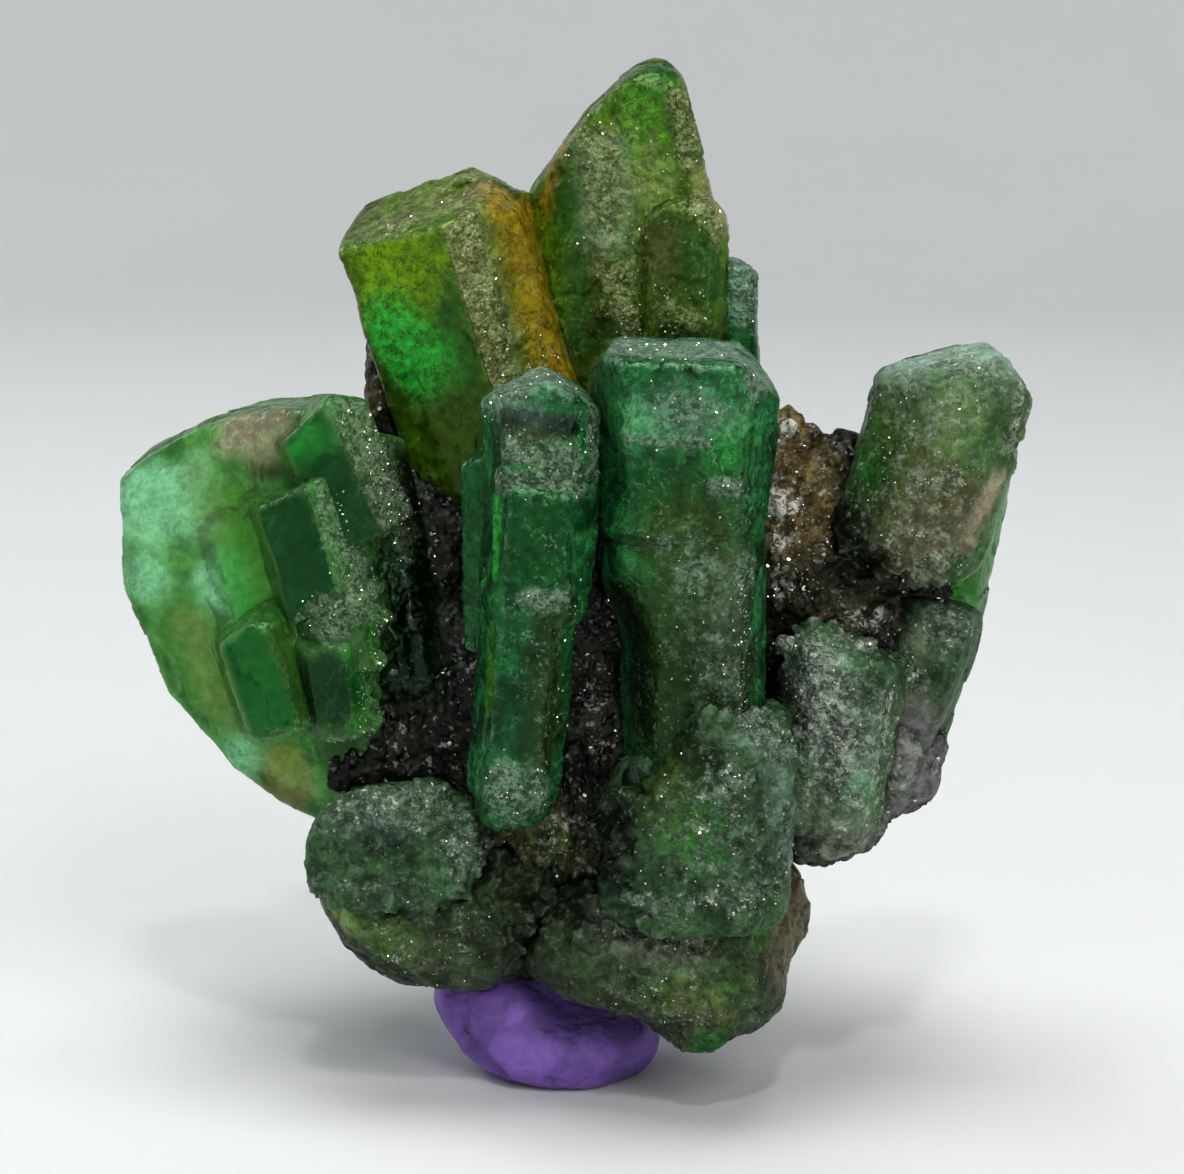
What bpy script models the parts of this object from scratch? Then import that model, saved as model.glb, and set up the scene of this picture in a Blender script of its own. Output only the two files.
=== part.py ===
"""An emerald cluster in mica schist, held upright by a pat of putty.

Every crystal is a union of convex blocks, and each block is a cube cut by one plane for each crystal face.
The rounded pieces are ellipsoids fused by a voxel remesh. Sizes below are in millimetres and are made metres
by MM. The origin is the middle of the putty's foot, +X is the right of the front view, +Y its back, +Z up.
The crystals, lobes and matrix share one seat, an empty a little in front of the middle of the putty.
"""

import math
from dataclasses import dataclass

import bmesh
import bpy
from mathutils import Matrix, Vector, noise

MM = 0.001
# Clearance between neighbours
GAP = 0.3
# Half the width of the cube that a block is cut from
CUBE_REACH = 80.0
# Where the cluster's seat is on the putty: this far forward, it balances
SEAT = (0.0, -2.2, 0.0)
FLAT_TOP = (0, 90, 0.0)
FLAT_FOOT = (0, -90, 0.0)


@dataclass(frozen=True)
class Block:
    """A convex crystal segment.

    sides are (azimuth, reach, tilt): the reach is measured from the axis at mid height.
    crown and root are (azimuth, elevation, offset): the offset is measured from the head or the foot.
    Azimuth 0 is +X, 90 is +Y and 270 faces the front.
    """

    foot: tuple
    head: tuple
    sides: tuple
    crown: tuple = (FLAT_TOP,)
    root: tuple = (FLAT_FOOT,)


@dataclass(frozen=True)
class Lump:
    """An ellipsoid: its centre, its three radii and how far it leans to the right, in degrees."""

    centre: tuple
    radii: tuple
    lean: float = 0.0


@dataclass(frozen=True)
class Texture:
    """How a lumpy piece is made: its voxel size, the share of triangles kept, and its bumps.

    density is how many bumps there are in a millimetre, and height how far they swell the surface.
    """

    voxel: float
    share: float
    density: float
    height: float


SMOOTH_LOBE = Texture(0.7, 0.3, 0.16, 0.5)
ROUGH_MATRIX = Texture(0.8, 0.22, 0.22, 1.1)
KNEADED_PUTTY = Texture(0.6, 0.3, 0.12, 0.3)


def prism(turn, *reaches, tilt=0.0):
    """Side faces evenly round the axis, the first one facing the azimuth `turn`."""
    step = 360 / len(reaches)
    return tuple((turn + step * index, reach, tilt) for index, reach in enumerate(reaches))


def rim_of(outline, centre, tilt=0.0):
    """Side faces of a plate seen from the front, one for each edge of its (x, z) outline."""
    faces = []
    for (x0, z0), (x1, z1) in zip(outline, outline[1:] + outline[:1]):
        across, up = z1 - z0, x0 - x1
        length = math.hypot(across, up)
        reach = ((x0 - centre[0]) * across + (z0 - centre[2]) * up) / length
        faces.append((math.degrees(math.atan2(up, across)), reach, tilt))
    return tuple(faces)


def facing(azimuth, elevation):
    """The unit vector that points this way."""
    azimuth, elevation = math.radians(azimuth), math.radians(elevation)
    flat = math.cos(elevation)
    return Vector((flat * math.cos(azimuth), flat * math.sin(azimuth), math.sin(elevation)))


def planes_of(block):
    """(normal, distance) of each face, in the block's own frame with its foot at the origin."""
    length = (Vector(block.head) - Vector(block.foot)).length
    for azimuth, reach, tilt in block.sides:
        lean = math.radians(tilt)
        yield facing(azimuth, tilt), reach * math.cos(lean) + length / 2 * math.sin(lean)
    for azimuth, elevation, offset in block.crown:
        normal = facing(azimuth, elevation)
        yield normal, normal.z * length + offset
    for azimuth, elevation, offset in block.root:
        yield facing(azimuth, elevation), offset


def add_block(mesh, block, grow):
    """Cuts the block out of a cube and adds it to the bmesh, with every face moved out by `grow`."""
    piece = bmesh.new()
    bmesh.ops.create_cube(piece, size=2 * CUBE_REACH)
    for normal, distance in planes_of(block):
        bmesh.ops.bisect_plane(
            piece,
            geom=piece.verts[:] + piece.edges[:] + piece.faces[:],
            dist=1e-5,
            plane_co=normal * (distance + grow),
            plane_no=normal,
            clear_outer=True,
        )
        bmesh.ops.holes_fill(piece, edges=piece.edges[:])
    axis = Vector(block.head) - Vector(block.foot)
    turn = Vector((0, 0, 1)).rotation_difference(axis).to_matrix().to_4x4()
    place = Matrix.Translation(block.foot)
    bmesh.ops.transform(piece, matrix=place @ turn, verts=piece.verts[:])
    bmesh.ops.recalc_face_normals(piece, faces=piece.faces[:])
    shape = bpy.data.meshes.new("block")
    piece.to_mesh(shape)
    piece.free()
    mesh.from_mesh(shape)
    bpy.data.meshes.remove(shape)


def object_from(name, mesh, collection, seat):
    """Makes an object of the bmesh, which is in millimetres, and puts it on the seat, if it has one."""
    bmesh.ops.scale(mesh, vec=(MM, MM, MM), verts=mesh.verts[:])
    shape = bpy.data.meshes.new(name)
    mesh.to_mesh(shape)
    mesh.free()
    made = bpy.data.objects.new(name, shape)
    made.parent = seat
    collection.objects.link(made)
    return made


def apply_modifiers(target):
    """Gives the object the mesh that its modifiers make."""
    bpy.context.view_layer.update()
    evaluated = target.evaluated_get(bpy.context.evaluated_depsgraph_get())
    shape = bpy.data.meshes.new_from_object(evaluated)
    target.modifiers.clear()
    target.data = shape
    shape.name = target.name


def combine(target, operation, others):
    """Joins the others to the target, or cuts them out of it, one after the other."""
    for other in others:
        boolean = target.modifiers.new(operation.title(), "BOOLEAN")
        boolean.operation = operation
        boolean.solver = "EXACT"
        boolean.object = other
        apply_modifiers(target)


def drop_chips(body):
    """Deletes the small chips that a cut leaves beside the main body."""
    mesh = bmesh.new()
    mesh.from_mesh(body.data)
    left = set(mesh.verts)
    bodies = []
    while left:
        found, edge = set(), [left.pop()]
        while edge:
            vertex = edge.pop()
            found.add(vertex)
            near = {link.other_vert(vertex) for link in vertex.link_edges} & left
            left -= near
            edge.extend(near)
        bodies.append(found)
    bodies.sort(key=len)
    for chip in bodies[:-1]:
        bmesh.ops.delete(mesh, geom=list(chip), context="VERTS")
    mesh.to_mesh(body.data)
    mesh.free()


def crystal_solid(name, blocks, collection, seat, grow=0.0):
    """The union of the blocks as one object."""
    pieces = []
    for block in blocks:
        mesh = bmesh.new()
        add_block(mesh, block, grow)
        pieces.append(object_from(name, mesh, collection, seat))
    body, *others = pieces
    combine(body, "UNION", others)
    for other in others:
        bpy.data.objects.remove(other)
    body.name = name
    return body


def lump_solid(name, lumps, collection, seat, texture):
    """Ellipsoids fused by a voxel remesh, roughened and then thinned to a share of their triangles."""
    mesh = bmesh.new()
    for lump in lumps:
        place = Matrix.Translation(lump.centre) @ Matrix.Rotation(math.radians(lump.lean), 4, "Y")
        stretch = Matrix.Diagonal((*lump.radii, 1.0))
        bmesh.ops.create_icosphere(mesh, subdivisions=4, radius=1.0, matrix=place @ stretch)
    body = object_from(name, mesh, collection, seat)
    remesh = body.modifiers.new("Remesh", "REMESH")
    remesh.mode = "VOXEL"
    remesh.voxel_size = texture.voxel * MM
    apply_modifiers(body)
    for vertex in body.data.vertices:
        swell = noise.fractal(vertex.co / MM * texture.density, 1.0, 2.0, 3) * texture.height
        vertex.co += vertex.normal * swell * MM
    thin = body.modifiers.new("Decimate", "DECIMATE")
    thin.ratio = texture.share
    apply_modifiers(body)
    return body


def swollen(body, collection, by=GAP):
    """A copy of the piece whose surface lies further out, to cut the pocket that the piece sits in."""
    cutter = body.copy()
    cutter.data = body.data.copy()
    cutter.name = body.name + "_pocket"
    collection.objects.link(cutter)
    swell = cutter.modifiers.new("Displace", "DISPLACE")
    swell.strength = by * MM
    swell.mid_level = 0.0
    apply_modifiers(cutter)
    return cutter


def thick_crystal():
    """The upright prism right of the middle: a wide head on a narrower shaft with a crust on its right."""
    head = Block(
        foot=(7.95, -4.9, 34.6),
        head=(7.35, -4.9, 44.2),
        sides=((268, 4.4, -2), (322, 4.65, -6), (12, 4.4, -9), (88, 4.0, 0), (150, 4.7, 0), (200, 4.55, 0)),
        crown=((330, 84, 0.0), (355, 42, 2.1), (180, 45, 3.0)),
        root=(FLAT_FOOT, (180, -45, 2.6), (0, -50, 2.4), (270, -50, 3.0)),
    )
    shaft = Block(
        foot=(8.3, -4.4, 14.0),
        head=(8.0, -4.9, 36.0),
        sides=prism(270, 3.6, 3.5, 3.4, 3.4, 3.5, 3.4),
    )
    crust = Block(
        foot=(10.4, -5.2, 24.0),
        head=(10.3, -5.2, 33.0),
        sides=prism(300, 1.3, 1.3, 1.2, 1.3, 1.3),
        crown=((0, 60, 0.4), (180, 50, 0.5), (270, 60, 0.5)),
    )
    return head, shaft, crust


def slender_crystal():
    """The stacked prism left of it, stepped three times, with a free rounded tip."""
    cap = Block(
        foot=(-0.4, -6.3, 35.4),
        head=(-0.2, -6.3, 43.0),
        sides=prism(265, 2.7, 2.75, 2.5, 2.6, 2.75, 2.9),
        crown=((190, 66, 0.0), (0, 62, 0.0), (270, 50, 1.6)),
    )
    middle = Block(
        foot=(-0.7, -6.9, 29.8),
        head=(-0.3, -6.9, 37.5),
        sides=prism(265, 2.8, 2.7, 2.4, 2.6, 2.7, 2.6),
        crown=((270, 80, 0.0), (0, 40, 1.9)),
    )
    sliver = Block(
        foot=(-3.2, -5.0, 27.5),
        head=(-3.4, -5.0, 38.4),
        sides=prism(230, 1.2, 1.2, 1.2, 1.2, 1.2),
        crown=((180, 50, 0.5), FLAT_TOP),
    )
    lower = Block(
        foot=(-2.0, -7.6, 19.6),
        head=(-1.1, -7.6, 31.0),
        sides=prism(265, 2.3, 2.3, 2.1, 2.2, 2.3, 2.1),
        crown=((270, 70, 0.3), (0, 45, 1.7)),
    )
    tip = Block(
        foot=(-2.0, -7.7, 17.9),
        head=(-2.0, -7.5, 22.5),
        sides=prism(270, 2.0, 1.7, 1.7, 1.7, 1.8, 1.8),
        crown=((180, 60, 0.6), FLAT_TOP),
        root=(FLAT_FOOT, (0, -35, 1.1), (180, -35, 1.2), (270, -35, 1.2), (90, -35, 1.2)),
    )
    return cap, middle, sliver, lower, tip


def tall_crystal():
    """The hexagonal prism that leans left at the back, cut off by a slanted end."""
    shaft = Block(
        foot=(-1.5, 4.6, 33.2),
        head=(-7.2, 4.6, 51.7),
        sides=((252, 4.0, 0), (300, 4.3, 0), (348, 5.1, 0), (72, 4.3, 0), (120, 4.3, 0), (176, 5.1, 0)),
        crown=((262, 72, 0.0), (0, 48, 2.8), (330, 40, 2.6), (95, 58, 2.4), (176, 45, 3.3)),
    )
    rear = Block(
        foot=(-0.6, 7.6, 36.0),
        head=(-5.6, 7.4, 52.6),
        sides=prism(95, 2.1, 2.2, 2.3, 2.4, 2.4, 2.2),
        crown=((180, 68, 0.2), (60, 62, 0.0), (0, 60, 0.8)),
    )
    return shaft, rear


def pointed_crystal():
    """The broad blade with the highest tip, and the short rough one grown onto its right side."""
    blade = Block(
        foot=(4.2, 7.6, 35.0),
        head=(6.1, 7.2, 59.6),
        sides=(
            (265, 3.6, 0),
            (325, 4.6, 0),
            (0, 4.3, 0),
            (60, 4.4, 0),
            (90, 3.6, 0),
            (130, 5.2, 0),
            (180, 6.5, 0),
            (215, 5.7, 0),
        ),
        crown=(
            (200, 75, 0.0),
            (180, 44, 0.5),
            (180, 31, 1.5),
            (0, 45, 0.42),
            (0, 19, 1.1),
            (270, 40, 2.0),
            (90, 40, 2.0),
        ),
    )
    rough = Block(
        foot=(7.4, 3.6, 37.0),
        head=(7.9, 4.0, 52.0),
        sides=prism(255, 2.2, 2.0, 2.1, 2.0, 2.2, 2.3),
        crown=(FLAT_TOP, (180, 55, 0.3), (0, 45, 0.9), (270, 50, 1.0)),
    )
    knob = Block(
        foot=(8.8, 6.0, 45.0),
        head=(9.2, 5.6, 51.4),
        sides=prism(270, 0.9, 0.9, 0.9, 0.9, 0.9),
        crown=(FLAT_TOP, (0, 45, 0.3), (180, 45, 0.4)),
    )
    spur = Block(
        foot=(1.2, 10.0, 36.0),
        head=(0.8, 10.8, 48.5),
        sides=prism(80, 2.0, 2.1, 2.0, 2.2, 2.0, 2.1),
        crown=((120, 60, 0.0), (60, 50, 1.0)),
    )
    return blade, rough, knob, spur


def side_crystal():
    """The small prism to the right of the blade."""
    shaft = Block(
        foot=(11.0, 5.0, 35.5),
        head=(10.7, 4.6, 48.5),
        sides=prism(290, 1.2, 1.1, 1.2, 1.3, 1.1, 1.2),
        crown=(FLAT_TOP, (0, 55, 0.0), (180, 70, 0.1)),
    )
    return (shaft,)


FAN_OUTLINE = [
    (-24.9, 36.0),
    (-24.6, 29.6),
    (-22.1, 23.8),
    (-18.3, 19.4),
    (-15.7, 17.6),
    (-13.0, 16.4),
    (-10.3, 22.0),
    (-10.3, 36.0),
    (-12.6, 40.4),
    (-16.2, 40.2),
    (-20.2, 39.0),
    (-23.4, 37.3),
]
FAN_CENTRE = (-17.0, 5.0, 29.0)


def fan_crystal():
    """The broad thin plate at the left and the prisms that step down across its front."""
    plate = Block(
        foot=FAN_CENTRE,
        head=(FAN_CENTRE[0], -0.6, FAN_CENTRE[2]),
        sides=rim_of(FAN_OUTLINE, FAN_CENTRE),
        crown=((180, 80, 0.2), (180, 45, 4.4), (130, 50, 5.0), (230, 50, 5.4)),
        root=(FLAT_FOOT, (180, -50, 4.4), (130, -50, 6.6), (230, -50, 6.6)),
    )
    upper = Block(
        foot=(-10.4, -1.3, 33.4),
        head=(-13.4, -1.3, 40.6),
        sides=((258, 2.0, 0), (322, 2.2, 0), (20, 2.5, 0), (90, 3.4, 0), (160, 2.6, 0), (205, 2.5, 0)),
        crown=((200, 66, 0.0), (20, 60, 0.6), (90, 50, 1.2)),
        root=(FLAT_FOOT, (205, -50, 1.2)),
    )
    stem = Block(
        foot=(-7.7, 0.6, 24.0),
        head=(-11.0, 0.6, 38.4),
        sides=((262, 2.0, 0), (320, 2.0, 0), (20, 2.1, 0), (90, 2.8, 0), (160, 2.6, 0), (205, 2.6, 0)),
        crown=((200, 66, 0.0), (20, 60, 0.6)),
        root=(FLAT_FOOT, (0, -50, 1.2), (270, -55, 1.4)),
    )
    middle = Block(
        foot=(-12.9, -1.8, 29.6),
        head=(-14.7, -1.8, 36.0),
        sides=((258, 2.4, 0), (320, 2.5, 0), (20, 2.8, 0), (90, 3.4, 0), (160, 2.6, 0), (200, 2.4, 0)),
        crown=((190, 80, 0.0), (325, 55, 1.6)),
        root=((340, -72, 0.0),),
    )
    lower = Block(
        foot=(-15.3, -2.0, 22.4),
        head=(-17.2, -2.0, 28.2),
        sides=((262, 2.2, 0), (320, 2.3, 0), (20, 2.5, 0), (90, 3.6, 0), (160, 2.4, 0), (200, 2.2, 0)),
        crown=((190, 72, 0.3), (320, 60, 1.0)),
        root=(FLAT_FOOT, (180, -40, 2.0)),
    )
    dark = Block(
        foot=(-11.9, -2.8, 22.2),
        head=(-12.7, -3.0, 27.6),
        sides=prism(268, 1.8, 1.7, 1.7, 2.8, 1.8, 1.7),
        crown=((270, 80, 0.0),),
        root=(FLAT_FOOT, (180, -40, 1.2)),
    )
    ledge = Block(
        foot=(-11.6, -2.2, 26.0),
        head=(-12.2, -2.4, 30.6),
        sides=prism(280, 2.1, 2.0, 2.2, 2.8, 2.2, 2.1),
        crown=((250, 60, 0.3), (0, 50, 1.0)),
    )
    rear = Block(
        foot=(-14.6, 4.2, 20.5),
        head=(-18.0, 4.6, 34.5),
        sides=prism(95, 1.9, 2.6, 2.8, 2.2, 2.8, 2.4),
        crown=((120, 66, 0.0), (40, 50, 1.4)),
    )
    return plate, upper, stem, middle, lower, dark, ledge, rear


def stout_crystal():
    """The thumb-like crystal at the upper right, rounded at its lower end."""
    thumb = Block(
        foot=(20.1, -1.2, 31.6),
        head=(23.5, -1.2, 43.6),
        sides=prism(270, 3.8, 4.1, 4.1, 4.1, 3.7, 4.1, 4.1, 4.1),
        crown=((180, 60, 0.0), (0, 54, 1.4), (0, 22, 3.2), (250, 50, 1.6), (90, 60, 1.8)),
        root=(
            FLAT_FOOT,
            (0, -45, 2.0),
            (0, -22, 3.2),
            (180, -38, 2.3),
            (270, -40, 2.4),
            (315, -35, 2.6),
            (225, -35, 2.5),
        ),
    )
    return (thumb,)


def edge_crystal():
    """The thin prism behind the thumb."""
    shaft = Block(
        foot=(23.0, 4.0, 25.5),
        head=(25.5, 4.0, 38.0),
        sides=prism(270, 1.8, 1.7, 1.7, 1.8, 1.8, 1.8),
        crown=(FLAT_TOP, (0, 50, 1.0), (180, 45, 1.2)),
    )
    return (shaft,)


def corner_crystal():
    """The dark prism under the thumb."""
    shaft = Block(
        foot=(19.6, 1.0, 20.0),
        head=(22.4, 0.8, 29.0),
        sides=prism(275, 2.8, 2.7, 2.6, 2.8, 2.8, 2.8),
        crown=(FLAT_TOP, (0, 40, 1.9), (180, 50, 1.8)),
        root=(FLAT_FOOT, (0, -40, 1.7)),
    )
    return (shaft,)


def frosted_crystal():
    """The frosted stub at the right."""
    stub = Block(
        foot=(15.6, -2.4, 16.6),
        head=(17.0, -3.0, 26.8),
        sides=prism(270, 2.8, 3.0, 3.0, 2.8, 3.0, 3.0),
        crown=(FLAT_TOP, (0, 40, 2.4), (180, 60, 1.2), (270, 55, 1.2)),
    )
    return (stub,)


def front_lobe_crystal():
    """The broad rounded crystal low at the front."""
    lobe = Block(
        foot=(8.6, -6.6, 12.4),
        head=(8.8, -6.9, 24.4),
        sides=prism(270, 4.2, 4.5, 4.7, 4.6, 3.4, 4.6, 5.2, 4.9),
        crown=(FLAT_TOP, (270, 40, 2.2), (225, 45, 1.6), (315, 45, 2.5), (0, 45, 2.7), (180, 40, 1.4)),
        root=(FLAT_FOOT, (270, -35, 3.3), (0, -40, 3.9), (180, -40, 4.2), (315, -35, 4.0), (225, -35, 4.0)),
    )
    return (lobe,)


def stub_crystal():
    """The blocky crystal low at the left, which points at the viewer."""
    stub = Block(
        foot=(-8.2, -0.5, 15.0),
        head=(-8.8, -7.2, 16.2),
        sides=prism(0, 5.0, 4.0, 3.3, 4.2, 5.0, 4.2, 3.3, 4.0),
        crown=(FLAT_TOP, (180, 50, 2.9), (0, 50, 2.9), (90, 50, 1.8), (270, 45, 1.9)),
    )
    return (stub,)


BACK_CRYSTALS = (
    ((-9.0, 6.5, 24.0), (-14.0, 13.0, 36.0), 2.8, 280),
    ((-2.5, 9.0, 22.0), (-5.0, 15.5, 34.5), 3.2, 268),
    ((4.5, 8.0, 17.0), (6.0, 16.5, 25.5), 3.3, 255),
    ((11.0, 7.5, 24.0), (14.5, 13.5, 36.0), 2.8, 290),
    ((14.0, 5.0, 18.5), (19.5, 11.0, 26.0), 2.6, 275),
    ((-7.0, 6.5, 14.5), (-12.5, 12.0, 19.5), 2.5, 300),
)


def back_crystal(foot, head, reach, turn):
    """One of the prisms of the side that faces away."""
    shaft = Block(
        foot=foot,
        head=head,
        sides=prism(turn, reach, 0.9 * reach, reach, 0.95 * reach, 0.9 * reach, 1.05 * reach),
        crown=((turn + 150, 80, 0.0), (turn + 20, 45, 0.45 * reach), (turn + 215, 50, 0.55 * reach)),
    )
    return (shaft,)


LOBES = {
    "base_lobe_left": (
        Lump((-6.4, -0.6, 11.2), (6.8, 5.6, 4.7)),
        Lump((-8.8, -1.2, 11.8), (4.6, 4.6, 3.8)),
    ),
    "base_lobe_right": (
        Lump((6.0, -1.6, 9.4), (7.8, 6.0, 4.4)),
        Lump((9.0, -3.4, 7.4), (4.6, 4.4, 3.6)),
        Lump((8.8, -6.2, 5.6), (2.0, 1.6, 1.8)),
        Lump((9.2, 1.0, 9.6), (5.3, 4.6, 5.4)),
    ),
}
MATRIX = (
    Lump((0.5, 4.0, 20.0), (12.5, 8.0, 11.0)),
    Lump((0.0, 1.0, 10.5), (5.5, 4.5, 4.0)),
    Lump((-11.2, 1.6, 20.2), (3.2, 3.6, 3.8)),
    Lump((7.0, 5.4, 25.0), (9.0, 6.0, 9.0)),
    Lump((2.4, 6.4, 33.5), (8.6, 6.4, 8.0)),
    Lump((14.6, 1.6, 32.6), (4.0, 4.4, 5.4)),
    Lump((17.0, 1.6, 35.4), (2.7, 2.8, 3.0)),
    Lump((12.4, 0.6, 37.6), (1.7, 2.2, 3.0)),
    Lump((18.2, 2.2, 27.4), (6.0, 4.4, 5.4)),
    Lump((20.4, 3.0, 32.0), (4.0, 3.0, 5.0)),
    Lump((18.6, 1.0, 20.2), (4.3, 4.2, 4.6)),
    Lump((16.2, 1.0, 17.0), (3.9, 3.8, 3.4)),
    Lump((-8.4, 4.6, 29.0), (7.2, 5.4, 10.0)),
    Lump((-7.6, 6.0, 40.0), (3.0, 3.4, 5.2), -17.0),
)
PUTTY = (
    Lump((0.4, 0.0, 2.1), (6.2, 5.6, 3.2)),
    Lump((-2.8, -0.3, 4.2), (4.4, 4.6, 2.9), 12.0),
    Lump((0.6, 1.4, 5.4), (5.0, 3.6, 3.0)),
)

CRYSTALS = {
    "thick_crystal": thick_crystal(),
    "slender_crystal": slender_crystal(),
    "tall_crystal": tall_crystal(),
    "pointed_crystal": pointed_crystal(),
    "side_crystal": side_crystal(),
    "fan_crystal": fan_crystal(),
    "stout_crystal": stout_crystal(),
    "edge_crystal": edge_crystal(),
    "corner_crystal": corner_crystal(),
    "frosted_crystal": frosted_crystal(),
    "front_lobe_crystal": front_lobe_crystal(),
    "stub_crystal": stub_crystal(),
}
for number, shape in enumerate(BACK_CRYSTALS, 1):
    CRYSTALS[f"back_crystal_{number}"] = back_crystal(*shape)

# Which earlier crystals a crystal makes room for
MAKES_ROOM = {
    "pointed_crystal": ("tall_crystal",),
    "side_crystal": ("pointed_crystal",),
    "front_lobe_crystal": ("thick_crystal",),
    "edge_crystal": ("stout_crystal",),
    "corner_crystal": ("stout_crystal", "edge_crystal"),
    "frosted_crystal": ("corner_crystal",),
    "back_crystal_1": ("fan_crystal",),
    "back_crystal_6": ("fan_crystal",),
}

# The base colour and the roughness of each piece
FINISHES = {
    "thick_crystal": ((0.02, 0.24, 0.09, 1.0), 0.25),
    "slender_crystal": ((0.02, 0.22, 0.10, 1.0), 0.28),
    "tall_crystal": ((0.10, 0.20, 0.02, 1.0), 0.25),
    "pointed_crystal": ((0.13, 0.17, 0.03, 1.0), 0.3),
    "side_crystal": ((0.05, 0.23, 0.09, 1.0), 0.3),
    "fan_crystal": ((0.08, 0.34, 0.14, 1.0), 0.25),
    "stout_crystal": ((0.13, 0.20, 0.07, 1.0), 0.32),
    "edge_crystal": ((0.03, 0.30, 0.10, 1.0), 0.25),
    "corner_crystal": ((0.02, 0.12, 0.06, 1.0), 0.35),
    "frosted_crystal": ((0.09, 0.17, 0.10, 1.0), 0.45),
    "front_lobe_crystal": ((0.05, 0.17, 0.07, 1.0), 0.35),
    "stub_crystal": ((0.13, 0.18, 0.13, 1.0), 0.5),
    "base_lobe_left": ((0.07, 0.11, 0.06, 1.0), 0.45),
    "base_lobe_right": ((0.09, 0.13, 0.05, 1.0), 0.4),
    "matrix": ((0.05, 0.045, 0.04, 1.0), 0.7),
    "putty_stand": ((0.16, 0.06, 0.42, 1.0), 0.55),
}
BACK_FINISH = ((0.03, 0.20, 0.08, 1.0), 0.3)


def dress(body):
    """Gives the piece a material of its own, with its colour and roughness."""
    colour, roughness = FINISHES.get(body.name, BACK_FINISH)
    finish = bpy.data.materials.new(body.name)
    finish.use_nodes = True
    shader = finish.node_tree.nodes["Principled BSDF"]
    shader.inputs["Base Color"].default_value = colour
    shader.inputs["Roughness"].default_value = roughness
    shader.inputs["Metallic"].default_value = 0.0
    finish.diffuse_color = colour
    body.data.materials.clear()
    body.data.materials.append(finish)


def new_collection(name):
    """A collection in the scene."""
    made = bpy.data.collections.new(name)
    bpy.context.scene.collection.children.link(made)
    return made


def flatten_foot(body):
    """Cuts the piece off level with the surface that it stands on."""
    mesh = bmesh.new()
    mesh.from_mesh(body.data)
    bmesh.ops.bisect_plane(
        mesh,
        geom=mesh.verts[:] + mesh.edges[:] + mesh.faces[:],
        plane_co=(0, 0, 0),
        plane_no=(0, 0, -1),
        clear_outer=True,
    )
    bmesh.ops.holes_fill(mesh, edges=mesh.edges[:])
    mesh.to_mesh(body.data)
    mesh.free()


def add_crystals(cluster, cutters, seat):
    """Builds the crystals, each clear of the earlier ones, and returns the pockets that they need."""
    pockets = {}
    for name, blocks in CRYSTALS.items():
        body = crystal_solid(name, blocks, cluster, seat)
        combine(body, "DIFFERENCE", [pockets[other] for other in MAKES_ROOM.get(name, ())])
        dress(body)
        pockets[name] = crystal_solid(name + "_pocket", blocks, cutters, seat, GAP)
    return pockets


def add_lobes(cluster, cutters, seat, pockets):
    """Builds the two smooth lobes, adds their pockets to the others and returns the new ones."""
    made = []
    for name, lumps in LOBES.items():
        body = lump_solid(name, lumps, cluster, seat, SMOOTH_LOBE)
        cutting = list(pockets.values())
        pockets[name] = swollen(body, cutters)
        made.append(pockets[name])
        combine(body, "DIFFERENCE", cutting)
        body.data.shade_smooth()
        dress(body)
    return made


def add_matrix(cluster, seat, pockets):
    """Builds the rock that the crystals sit in, with a pocket for each of them."""
    body = lump_solid("matrix", MATRIX, cluster, seat, ROUGH_MATRIX)
    combine(body, "DIFFERENCE", list(pockets.values()))
    drop_chips(body)
    dress(body)
    return body


def add_putty(cluster, pockets):
    """Builds the pat of putty, pressed flat below and hollowed where the cluster stands in it."""
    body = lump_solid("putty_stand", PUTTY, cluster, None, KNEADED_PUTTY)
    flatten_foot(body)
    combine(body, "DIFFERENCE", pockets)
    body.data.shade_smooth()
    body.data.set_sharp_from_angle(angle=math.radians(40))
    dress(body)


def main():
    """Builds the cluster."""
    for old in list(bpy.data.objects):
        bpy.data.objects.remove(old)
    cluster = new_collection("emerald_in_matrix")
    cutters = new_collection("cutters")
    seat = bpy.data.objects.new("cluster_seat", None)
    seat.location = Vector(SEAT) * MM
    cluster.objects.link(seat)

    pockets = add_crystals(cluster, cutters, seat)
    lobe_pockets = add_lobes(cluster, cutters, seat, pockets)
    matrix = add_matrix(cluster, seat, pockets)
    add_putty(cluster, lobe_pockets + [swollen(matrix, cutters)])

    for cutter in cutters.objects:
        cutter.hide_render = True
        cutter.display_type = "WIRE"


if __name__ == "__main__":
    main()
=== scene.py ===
"""The looks of an emerald cluster in mica schist that stands on a pat of putty.

Every piece starts as an evenly meshed copy of its solid in the frame. Listed patches of frost and stain, of
a near-black tint that is mostly painted shade and of bright greens that are partly painted glow, are painted
on it as attributes, a Geometry Nodes tree weathers its surface, and its material reads the same attributes.
Places and sizes are in millimetres unless a name says otherwise: +X is the right of the front view, +Y its
back and +Z up.
"""

import logging
import math
from dataclasses import dataclass, field, replace
from enum import Enum
from typing import Any, Iterable, Optional

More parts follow.
